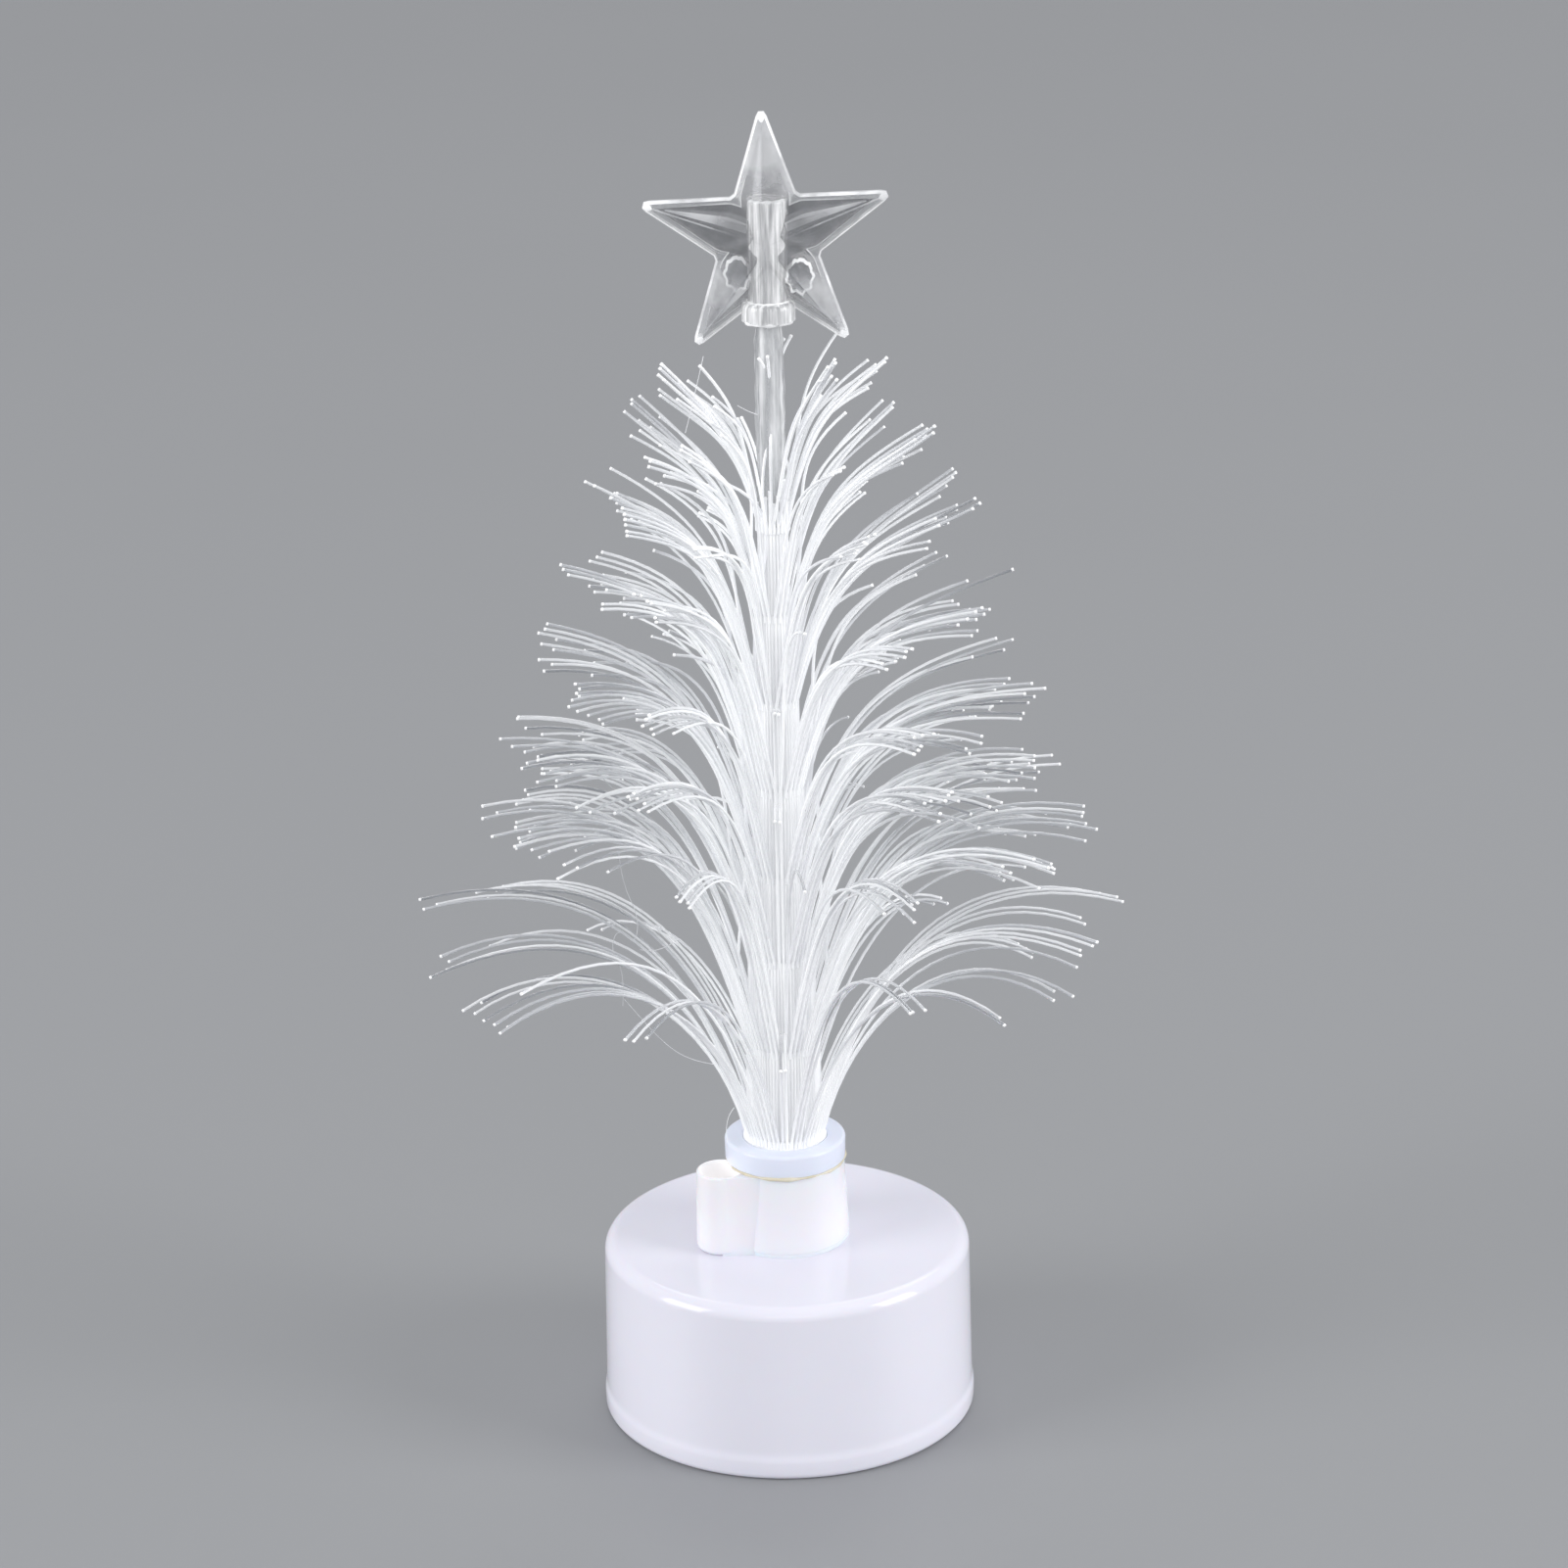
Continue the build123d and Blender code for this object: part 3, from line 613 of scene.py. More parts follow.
# Housing, tower, collar and glue
base_white = plastic("base_white", (0.795, 0.785, 0.87), (0.82, 0.81, 0.895), 0.10, spread=0.03,
                     grain=0.03, grain_scale=900, Subsurface_Weight=0.08, Subsurface_Scale=0.002)
tower_white = plastic("tower_white", (0.84, 0.82, 0.865), (0.88, 0.86, 0.90), 0.26, grain=0.1,
                      grain_scale=1200, Subsurface_Weight=0.25, Subsurface_Scale=0.003)
# Painted glow inside the side tube's bore, standing in for light that passes through its thin wall
tower_inside_glowing = plastic("tower_inside_glowing", (0.88, 0.865, 0.87), (0.92, 0.905, 0.90), 0.4,
                       Emission_Color=(1.0, 0.98, 0.97, 1), Emission_Strength=0.16)
collar_blue = plastic("collar_blue", (0.75, 0.79, 0.92), (0.80, 0.84, 0.95), 0.3, grain=0.05,
                      Subsurface_Weight=0.08, Subsurface_Scale=0.002)
glue_yellow = plastic("glue_yellow", (0.62, 0.55, 0.38), (0.78, 0.73, 0.60), 0.25, scale=500)

# Trunk and fibres
# Painted glow: the trunk gives out a faint light that lifts the shade among its fibres
trunk_white_glowing = plastic("trunk_white_glowing", (0.78, 0.785, 0.80), (0.97, 0.97, 0.975), 0.3, scale=2600,
                      upright=0.015, Emission_Color=COLD_WHITE, Emission_Strength=0.1)
fibre_tones = [
    fibre_plastic("fibre_light", (0.96, 0.965, 0.97), (0.92, 0.93, 0.945), 0.2),
    fibre_plastic("fibre_middle", (0.92, 0.925, 0.935), (0.72, 0.735, 0.76), 0.35),
    fibre_plastic("fibre_grey", (0.84, 0.845, 0.865), (0.46, 0.475, 0.50), 0.45),
]
# Painted glow at the fibres' cut tips
fibre_tip_glowing = plastic("fibre_tip_glowing", (0.95, 0.955, 0.96), (0.99, 0.99, 0.99), 0.3, scale=400,
                    Emission_Strength=0.15)

# Star, its socket and glue, and the stem
STAR_MIDDLE = (0, 0, STAR_HEIGHT)
star_clear = plastic("star_clear", (0.93, 0.94, 0.96), (0.99, 0.995, 1.0), 0.04, spread=0.02,
                     scale=200, IOR=1.47)
edge_weighted(star_clear, 0.96, 0.3)
streaked(star_clear, 0.2, 0.36)
clearer_inside(star_clear, STAR_MIDDLE, 3.5, 6.0, 0.3)
# Painted sheen: a pale, half clear plastic laid on the lit faces, the ridges and a band of each hollow
star_painted_sheen = plastic("star_painted_sheen", (0.88, 0.885, 0.905), (0.95, 0.955, 0.965), 0.08, spread=0.04,
                     scale=230, Transmission_Weight=0.3)
streaked(star_painted_sheen, 0.36, 0.72)
clearer_inside(star_painted_sheen, STAR_MIDDLE, 4.2, 6.0, 0.15)
# Painted shade: a dark, half clear plastic laid in the arms' hollows
star_pocket_shade = plastic("star_pocket_shade", (0.07, 0.073, 0.08), (0.24, 0.245, 0.26), 0.05, spread=0.02,
                      scale=250, IOR=1.47, Transmission_Weight=0.3)
streaked(star_pocket_shade, 0.3, 0.62)
# Painted highlight: white, nearly opaque and faintly glowing, laid on the star's rims, tips and hollows'
# edges, the socket's lips and the glue lumps' edges
star_edge_highlight = plastic("star_edge_highlight", (0.90, 0.905, 0.92), (0.98, 0.98, 0.985), 0.12, spread=0.05,
                    scale=260, Transmission_Weight=0.1, Emission_Strength=0.14)
streaked(star_edge_highlight, 0.45, 1.0)
# The socket's faint glow is painted light, lifting the shade inside the star
socket_clear = plastic("socket_clear", (0.30, 0.31, 0.33), (0.99, 0.99, 0.99), 0.12, spread=0.06,
                       scale=2300, upright=0.07, Transmission_Weight=0.1, Emission_Strength=0.12)
streaked(socket_clear, 0.6, 1.0)
glue_clear = plastic("glue_clear", (0.30, 0.31, 0.33), (0.55, 0.56, 0.58), 0.08, spread=0.05,
                     scale=600, Transmission_Weight=0.3)
streaked(glue_clear, 0.3, 0.5)
tube_clear = plastic("tube_clear", (0.30, 0.31, 0.325), (0.88, 0.885, 0.89), 0.22, spread=0.1,
                     scale=1500, upright=0.06)
streaked(tube_clear, 0.5, 0.9)

floor_grey = plastic("floor_grey", (0.31, 0.315, 0.325), (0.32, 0.325, 0.335), 0.5, scale=3)


# CAD nodes that are shown as they are


def finish(item, *names):
    """Gives CAD nodes their material."""
    for name in names:
        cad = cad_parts[name]
        cad.data.materials.clear()
        cad.data.materials.append(item)


finish(trunk_white_glowing, "fibre_bundle")
finish(plastic("cover_white", (0.72, 0.725, 0.74), (0.77, 0.775, 0.79), 0.42, grain=0.5,
               grain_scale=3500), "bottom_cover", "battery_door")
finish(plastic("knob_black", (0.012, 0.012, 0.013), (0.03, 0.03, 0.032), 0.38, grain=0.3), "switch_knob")
finish(plastic("steel", (0.42, 0.42, 0.43), (0.52, 0.52, 0.53), 0.3, grain=0.2, Metallic=1.0),
       "button_cell_1", "button_cell_2", "button_cell_3", "contact_plate", "contact_leaf", "lamp_leads",
       "switch_shell")
finish(plastic("dark_steel", (0.25, 0.25, 0.26), (0.34, 0.34, 0.35), 0.34, grain=0.25, Metallic=1.0),
       "door_screws")
finish(plastic("board_green", (0.02, 0.12, 0.05), (0.03, 0.17, 0.07), 0.35, grain=0.2), "circuit_board")
finish(plastic("terminal_brown", (0.14, 0.06, 0.025), (0.2, 0.09, 0.04), 0.5, grain=0.2),
       "switch_terminals")
finish(plastic("lead_red", (0.42, 0.02, 0.015), (0.52, 0.03, 0.02), 0.4), "lead_red", "lead_switch")
finish(plastic("lead_black", (0.012, 0.012, 0.012), (0.03, 0.03, 0.03), 0.42), "lead_black")
finish(plastic("lamp_resin", (0.85, 0.87, 0.9), (0.93, 0.94, 0.96), 0.08, Transmission_Weight=0.85),
       "lamp")


# Base, tower and collar


def base():
    """The cup with its foot, taper, round shoulder and slightly dished top."""
    top = BASE_HEIGHT
    outline = [
        *foot_round(FOOT_RADIUS, 0, FOOT_ROUND, 6),
        *[(FOOT_RADIUS + x, FOOT_HEIGHT + z) for x, z in FOOT_EDGE],
        *[(SIDE_RADIUS_LOW + x, FOOT_HEIGHT + z) for x, z in SIDE_FOOT],
        *top_round(SIDE_RADIUS_TOP, top, SHOULDER_ROUND, 12),
        *[(radius, top - TOP_DISH * share) for radius, share in DISH],
        (SPIGOT_HOLE, top - WALL),
        (SIDE_RADIUS_TOP - WALL - WALL_GAIN_TOP, top - WALL),
        (SIDE_RADIUS_LOW - WALL - WALL_GAIN_LOW, COVER_RECESS + COVER_THICKNESS),
        (FOOT_RADIUS - RIM_WIDTH, 0.0),
    ]
    piece = link("base_housing_skin", lathe("base_housing_skin", outline, 192), [base_white])
    sharp_by_angle(piece, 40)
    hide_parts("base_housing")


def catches():
    """The catches inside the foot, each a wedge that leans out downwards."""
    outline = ((CATCH_INNER, COVER_RECESS), (CATCH_OUTER, COVER_RECESS),
               (CATCH_OUTER, CATCH_FOOT), (CATCH_TIP, CATCH_FOOT))
    for i in range(CATCH_COUNT):
        name = f"cover_catch_{i + 1}"
        sides = [[(x, y, z) for x, z in outline] for y in (-CATCH_WIDTH / 2, CATCH_WIDTH / 2)]
        wedge = block(name, *sides)
        wedge.transform(Matrix.Rotation(radians(CATCH_TURN + 360 / CATCH_COUNT * i), 4, "Z"))
        catch = link(name, wedge, [base_white], smooth=False)


def tower():
    """The tower and its side tube in one moulding, bored, with softened rims."""
    low = BASE_HEIGHT - TOWER_SINK
    body = lathe("tower", [
        (0, low), (TOWER_RADIUS_FOOT, low),
        *arc(TOWER_RADIUS_FOOT - TOWER_FOOT_ROUND, BASE_HEIGHT + TOWER_FOOT_RISE, TOWER_FOOT_ROUND,
             -35, 0, 4),
        *top_round(TOWER_RADIUS_TOP, TOWER_TOP, RIM_ROUND, 4), (0, TOWER_TOP),
    ])
    foot = SOCKET_RADIUS + SOCKET_SWELL
    tube = lathe("tube", [
        (0, low), (foot - SOCKET_FOOT_STEP, low),
        *arc(foot - SOCKET_FOOT_ROUND, BASE_HEIGHT + SOCKET_FOOT_STEP, SOCKET_FOOT_ROUND, -60, 0, 5),
        *top_round(SOCKET_RADIUS, TOWER_TOP, RIM_ROUND, 4), (0, TOWER_TOP),
    ], 96, SOCKET_X, SOCKET_Y)
    side = SOCKET_Y - SOCKET_RADIUS
    corners = ((SOCKET_X, side + WEB_START_INSET), (WEB_END_X, side + WEB_END_INSET),
               (WEB_END_X, WEB_BACK_Y), (SOCKET_X, WEB_BACK_Y))
    web = block("web", *([(x, y, z) for x, y in corners] for z in (low, TOWER_TOP - WEB_DROP)))
    spigot = plug("spigot", SPIGOT_RADIUS, SPIGOT_FOOT, BASE_HEIGHT + SPIGOT_OVERLAP)
    past = TOWER_TOP + CUT_PAST
    bore = lathe("bore", [
        (0, BORE_FLOOR), (TOWER_BORE, BORE_FLOOR), (TOWER_BORE, TOWER_TOP - RIM_BEVEL_DEPTH),
        (TOWER_BORE + RIM_BEVEL, past), (0, past),
    ])
    lamp_way = plug("lamp_way", LAMP_WAY_RADIUS, LAMP_WAY_FOOT, LAMP_WAY_TOP)
    lip = arc(0, TOWER_TOP - SOCKET_LIP, SOCKET_LIP, 0, 90, 4)
    socket = lathe("socket", [
        (0, BORE_FLOOR), (SOCKET_BORE, BORE_FLOOR),
        *[(SOCKET_BORE + SOCKET_LIP - x, z) for x, z in lip],
        (SOCKET_BORE + SOCKET_LIP_CUT, past), (0, past),
    ], 96, SOCKET_X, SOCKET_Y)
    # The side tube's bore gets the painted glow
    for face in socket.polygons:
        face.material_index = INSIDE_SLOT
    mesh = boolean(boolean(body, [tube, web, spigot], "UNION"), [bore, lamp_way, socket])
    piece = link("fibre_holder_skin", mesh, [tower_white, tower_inside_glowing])
    sharp_by_angle(piece, 30)
    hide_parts("fibre_holder")


def collar():
    """The translucent ring on the tower, with the skirt inside it."""
    skirt = TOWER_BORE - COLLAR_SKIRT_GAP
    mesh = lathe("fibre_collar_skin", [
        (COLLAR_HOLE, TOWER_TOP - COLLAR_SKIRT), (skirt, TOWER_TOP - COLLAR_SKIRT),
        (skirt, TOWER_TOP), (COLLAR_RADIUS_FOOT - COLLAR_ROUND_LOW, TOWER_TOP),
        *foot_round(COLLAR_RADIUS_FOOT, TOWER_TOP, COLLAR_ROUND_LOW, 4),
        *top_round(COLLAR_RADIUS_TOP, COLLAR_TOP, COLLAR_ROUND_TOP, 6),
        *arc(COLLAR_HOLE + COLLAR_ROUND_HOLE, COLLAR_TOP - COLLAR_ROUND_HOLE, COLLAR_ROUND_HOLE,
             90, 180, 5),
    ], 160)
    piece = link("fibre_collar_skin", mesh, [collar_blue])
    sharp_by_angle(piece, 45)
    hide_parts("fibre_collar")


def glue_size(a):
    """Half the thickness of the glue line at an angle round the collar."""
    return GLUE_SIZE + waves(a, GLUE_WAVES) + GLUE_LOBE * max(0, cos(a - radians(GLUE_TURN)))


def collar_glue():
    """The uneven line of glue under the collar's rim."""
    radius = COLLAR_RADIUS_FOOT - GLUE_OFFSET
    mesh = ring("collar_glue", radius, TOWER_TOP + GLUE_OFFSET, glue_size)
    seam = link("collar_glue", mesh, [glue_yellow])


base()
catches()
tower()
collar()
collar_glue()


# Fibres


def curve_point(controls, share):
    """The point at a share of a cubic Bezier curve of four flat points."""
    rest = 1 - share
    weights = (rest ** 3, 3 * rest ** 2 * share, 3 * rest * share ** 2, share ** 3)
    return [sum(w * c[axis] for w, c in zip(weights, controls)) for axis in (0, 1)]


def fibre_line(tier, number, middle, level, stretch):
    """Points of one fibre, along its ribbon's heading, and the way across that heading."""
    count = COUNTS[tier]
    angle = 2 * pi * (number + tier / 2) / count
    middle_angle = 2 * pi * (middle + tier / 2) / count
    heading = atan2(FRONT_SPREAD * sin(middle_angle), cos(middle_angle))
    right = (1 + cos(heading)) / 2
    side_share = 1 - (1 - FRONT_SHARE) * sin(heading) ** 2
    uneven = 1 + UNEVEN * sin((number + 1) * (tier + 2))
    reach = REACH * (REACH_RIGHT[tier] * right + REACH_LEFT[tier] * (1 - right)) * side_share
    reach *= uneven * (1 - (1 - LOW_REACH) * level) * stretch
    rise = RISE_RIGHT[tier] * right + RISE_LEFT[tier] * (1 - right) - DROPS[tier] * level
    slope = radians(TIP_SLOPES[tier] + LOW_SLOPE * level)
    root_radius = SLICE_RADII[tier] - ROOT_INSET + ROOT_SHIFT * abs(sin(heading - angle))
    root = (0, SHELVES[tier] - ROOT_DEPTH)
    tip = (reach - root_radius, SHELVES[tier] + TRUNK_LENGTH * rise)
    span = hypot(tip[0] - root[0], tip[1] - root[1])
    pull, leave = span * START_PULL, radians(LEAVE_ANGLE)
    start = (pull * sin(leave), root[1] + pull * cos(leave))
    end = (tip[0] - span * TIP_PULL * cos(slope), tip[1] - span * TIP_PULL * sin(slope))
    points = [(0, root[1] - ROOT_TAIL)]
    points += [curve_point((root, start, end, tip), i / FIBRE_STEPS) for i in range(FIBRE_STEPS + 1)]
    x, y = root_radius * cos(angle), root_radius * sin(angle)
    line = [(x + r * cos(heading), y + r * sin(heading), z) for r, z in points]
    return np.array(line), np.array((-sin(heading), cos(heading), 0))


def unit(rows):
    """Vectors, each made one long."""
    return rows / np.linalg.norm(rows, axis=-1, keepdims=True)


def add_tube(parts, line, radius, side, tone):
    """Adds one fibre's tube, with a small burr at its cut tip, bright with a painted glow."""
    points, faces, slots = parts
    back = unit(line[-1] - line[-2])
    burr = [line[-1] - back * length for length in BURR_LENGTHS]
    line = np.vstack([line[:-1], *burr, line[-1]])
    radii = [radius] * (len(line) - len(burr)) + [radius * swell for swell in BURR_SWELLS]
    tangents = unit(np.gradient(line, axis=0))
    normals = unit(np.cross(tangents, side))
    across = np.cross(normals, tangents)
    first = len(points)
    turns = [2 * pi * k / FIBRE_SIDES for k in range(FIBRE_SIDES)]
    for centre, normal, other, r in zip(line, normals, across, radii):
        points.extend(centre + r * (cos(t) * normal + sin(t) * other) for t in turns)
    faces.extend(tube_faces(len(line), FIBRE_SIDES, first, closed=False))
    tip_rows = len(burr)
    slots.extend([tone] * (len(line) - 1 - tip_rows) * FIBRE_SIDES)
    slots.extend([TIP_SLOT] * (tip_rows * FIBRE_SIDES + 1))


def add_trunk(parts, radius, top_radius, bottom, top):
    """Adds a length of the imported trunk, fluted by the fibres at its surface."""
    points, faces, slots = parts
    flutes = int(2 * pi * radius / (2 * FIBRE_RADIUS))
    count = flutes * FLUTE_STEPS
    first = len(points)
    for level in range(TRUNK_LEVELS):
        share = level / (TRUNK_LEVELS - 1)
        z = bottom + (top - bottom) * share
        r = radius + (top_radius - radius) * share
        for i in range(count):
            ridge = abs(sin(pi * i / FLUTE_STEPS))
            sway = TRUNK_SWAY * sin(share * TRUNK_SWAY_PACE + i // FLUTE_STEPS)
            a = 2 * pi * (i / count) + sway
            rr = r - FIBRE_RADIUS * FLUTE_DEPTH * (1 - ridge)
            points.append(np.array((rr * cos(a), rr * sin(a), z)))
    faces.extend(tube_faces(TRUNK_LEVELS, count, first, closed=False))
    slots.extend([TRUNK_SLOT] * ((TRUNK_LEVELS - 1) * count + 1))


def add_ribbon(parts, tier, first, size, level):
    """Adds a ribbon's fibres, which bend together and peel away from each other."""
    middle = first + (size - 1) / 2
    bend = dice.gauss(0, RIBBON_BEND)
    across = fibre_line(tier, middle, middle, level, 1)[1]
    copies = 2 if abs(across[1]) > SIDEWAYS and tier else 1
    for number in range(first, first + size):
        for copy in range(copies):
            stretch = dice.uniform(*STRETCHES[copy])
            line, side = fibre_line(tier, number, middle, level, stretch)
            share = np.linspace(0, 1, len(line))[:, None]
            line = line + share ** 2 * (bend + dice.gauss(0, FIBRE_BEND)) * side
            peel = (number - middle) * RIBBON_STEP * side[1]
            peel -= copy * (SECOND_DROP + size * RIBBON_STEP)
            lift = peel + dice.gauss(0, FIBRE_LIFT)
            line += share ** PEEL_POWER * lift * np.array((0, 0, 1))
            radius = FIBRE_RADIUS * dice.uniform(*RADIUS_SHARES)
            add_tube(parts, line, radius, tuple(side), dice.choice(TONES))


def fibre_tier(tier):
    """One tier: its slice of the trunk, its ribbons of fibres and its steep fibres."""
    parts = ([], [], [])
    radius, top = SLICE_RADII[tier], SHELVES[tier]
    bottom = SHELVES[tier - 1] - TRUNK_OVERLAP if tier else COLLAR_TOP - TRUNK_DEPTH
    add_trunk(parts, radius - TRUNK_INSET, radius - TRUNK_INSET_TOP, bottom, top)
    first, ribbon = 0, 0
    while first < COUNTS[tier]:
        size = min(RIBBON_SIZES[ribbon % len(RIBBON_SIZES)], COUNTS[tier] - first)
        level = (2 * ribbon + tier) % RIBBON_LEVELS / (RIBBON_LEVELS - 1)
        add_ribbon(parts, tier, first, size, level)
        first += size
        ribbon += 1
    for turn, share in UPRIGHT[tier]:
        number = turn * COUNTS[tier]
        line, side = fibre_line(tier, number, number, 0, share)
        add_tube(parts, line, FIBRE_RADIUS, tuple(side), dice.choice(TONES))
    name = f"fibre_tier_{tier + 1}_strands"
    piece = link(name, mesh_from(name, *parts), [*fibre_tones, fibre_tip_glowing, trunk_white_glowing])
    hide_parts(f"fibre_tier_{tier + 1}")


for tier in range(TIERS):
    fibre_tier(tier)


# Stem


def stem_fold(a, z):
    """How far the tube's folds stand out or in at an angle and a height."""
    out = 0
    for depth, count, climb, wander, pace, shift in STEM_FOLDS:
        fold = sin(count * a + climb * z + wander * sin(z * WANDER_PACE))
        out += depth * fold * sin(pace * z + shift)
    return out


def stem():
    """The shrink tube, a little uneven below its neck and tight above it."""
    points = []
    for level in range(STEM_LEVELS + 1):
        z = STEM_BOTTOM + (STEM_TOP - STEM_BOTTOM) * level / STEM_LEVELS
        loose = min(max((STEM_NECK - z) / STEM_NECK_FADE, 0), 1)
        for i in range(STEM_SIDES):
            a = 2 * pi * i / STEM_SIDES
            r = STEM_RADIUS - STEM_INSET + (STEM_SWELL + stem_fold(a, z)) * loose
            points.append((r * cos(a), r * sin(a), z))
    mesh = mesh_from("stem_tube_skin", points, tube_faces(STEM_LEVELS + 1, STEM_SIDES))
    piece = link("stem_tube_skin", mesh, [tube_clear])
    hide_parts("stem_tube")


def stem_fibres():
    """The fibres inside the stem: one in the middle and the others round it."""
    parts = ([], [], [])
    turns = [2 * pi * i / STEM_FIBRES_ROUND for i in range(STEM_FIBRES_ROUND)]
    length = STEM_TOP - STEM_BOTTOM - STEM_FIBRE_LESS
    for r, start in [(0, 0)] + [(STEM_FIBRE_RING, turn) for turn in turns]:
        line = []
        for i in range(STEM_FIBRE_POINTS):
            z = STEM_BOTTOM + STEM_FIBRE_RISE + length * i / (STEM_FIBRE_POINTS - 1)
            a = start + FIBRE_TWIST * sin(z * TWIST_PACE)
            sway = FIBRE_SWAY * sin(z * SWAY_PACE + start)
            line.append((r * cos(a) + sway, r * sin(a), z))
        add_tube(parts, np.array(line), STEM_FIBRE_RADIUS, (1, 0, 0), 0)
    mesh = mesh_from("stem_fibre_strands", *parts)
    fibres = link("stem_fibre_strands", mesh, [fibre_tones[0]] * len(fibre_tones) + [fibre_tip_glowing])
    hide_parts("stem_fibres")


def cut_ends():
    """Short fibre ends, cut square, round the foot of the stem."""
    parts = ([], [], [])
    r = STEM_RADIUS + STEM_SWELL + CUT_OFFSET
    foot = STEM_BOTTOM - CUT_DEPTH
    for i in range(CUT_COUNT):
        a = 2 * pi * i / CUT_COUNT + CUT_START
        tallest = CUT_HEIGHT + CUT_GAIN * max(0, cos(a - radians(CUT_TURN)))
        height = tallest * dice.uniform(*CUT_SHARES) + CUT_DEPTH
        line = [(r * cos(a), r * sin(a), foot + height * k / CUT_STEPS) for k in range(CUT_STEPS + 1)]
        add_tube(parts, np.array(line), FIBRE_RADIUS, (1, 0, 0), 0)
    mesh = mesh_from("cut_fibre_ends", *parts)
    piece = link("cut_fibre_ends", mesh, [*fibre_tones, fibre_tip_glowing])


stem()
stem_fibres()
cut_ends()


# Stray hairs of drawn glue that the photograph shows between the fibres
HAIR_RADIUS = 0.035
HAIRS = (
    ((-6.6, -3, 117.3), (-7.6, -3, 113.1), (-8.6, -3, 109.4)),
    ((-3.3, -2.5, 112), (-2.3, -2, 111.2), (-1.3, -1, 110.6)),
    ((-19.4, -4, 75.7), (-18.1, -4, 72.8), (-15.8, -4, 71), (-14.2, -4, 72.3)),
    ((-16.6, -4, 64.7), (-16.4, -4, 61.6), (-14.7, -4, 57.5), (-15.2, -4, 54.5), (-17, -4, 56.5),
     (-17.8, -4, 54), (-16.4, -4, 51.5), (-16.7, -4, 47.7)),
    ((-14.7, -4, 54), (-12.9, -4, 53.4), (-10.8, -4, 55)),
    ((-16.5, -4, 48.4), (-14.9, -4, 46.3), (-12.2, -4, 43), (-9.5, -4, 41.2), (-7, -3.6, 40.6)),
    ((-5.3, -2.6, 35.2), (-6.5, -2.6, 33.8), (-6.1, -2.4, 31.1)),
)


def hairs():
    """The hairs, each a smooth curve through a few points."""
    curve = bpy.data.curves.new("stray_hairs", "CURVE")
    curve.dimensions = "3D"
    curve.bevel_depth = HAIR_RADIUS * MM
    curve.bevel_resolution = 1
    curve.resolution_u = 8
    for route in HAIRS:
        spline = curve.splines.new("NURBS")
        spline.points.add(len(route) - 1)
        for point, place in zip(spline.points, route):
            point.co = (*[value * MM for value in place], 1)
        spline.order_u = 3
        spline.use_endpoint_u = True
    curve.materials.append(fibre_tones[1])
    piece = placed("stray_hairs", curve)
    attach(piece, ROOT)


hairs()


# Star


def arm_angle(arm):
    """The angle at which an arm of the star points, seen from the front."""
    return pi / 2 + radians(STAR_TURN) + 2 * pi * arm / STAR_ARMS


def star_outline():
    """The star's corners: each tip's, then the two of the valley after it."""
    corners = []
    for arm in range(STAR_ARMS):
        tip = arm_angle(arm)
        valley = tip + pi / STAR_ARMS
        for across, back in STAR_TIP:
            out = STAR_RADIUS - back
            corners.append((out * cos(tip) - across * sin(tip), out * sin(tip) + across * cos(tip)))
        for turn in (valley - STAR_VALLEY_TURN, valley + STAR_VALLEY_TURN):
            corners.append((STAR_VALLEY * cos(turn), STAR_VALLEY * sin(turn)))
    return corners


def star_faces(count):
    """Faces and slots of a half: its flat side, its rim, then each arm's tip and sides."""
    each = count // STAR_ARMS
    apex = 2 * count + STAR_ARMS
    faces, slots = [tuple(range(count))], [CLEAR]
    for i in range(count):
        n = (i + 1) % count
        faces.append((i, n, count + n, count + i))
        # The rim carries the painted edge highlight
        slots.append(EDGE_HIGHLIGHT)
    for arm in range(STAR_ARMS):
        a, b, c, d, e, f = (count + arm * each + k for k in range(each))
        last_valley = count + (arm * each - 1) % count
        ridge = 2 * count + arm
        faces += [(a, b, ridge), (b, c, ridge), (c, d, ridge), (d, e, apex, ridge), (e, f, apex),
                  (last_valley, a, ridge, apex)]
        # The faces that take the light get the painted sheen
        after = PAINTED_SHEEN if arm in PAINTED_SHEEN_AFTER else CLEAR
        before = PAINTED_SHEEN if arm in PAINTED_SHEEN_BEFORE else CLEAR
        slots += [EDGE_HIGHLIGHT, EDGE_HIGHLIGHT, EDGE_HIGHLIGHT, after, CLEAR, before]
    return faces, slots


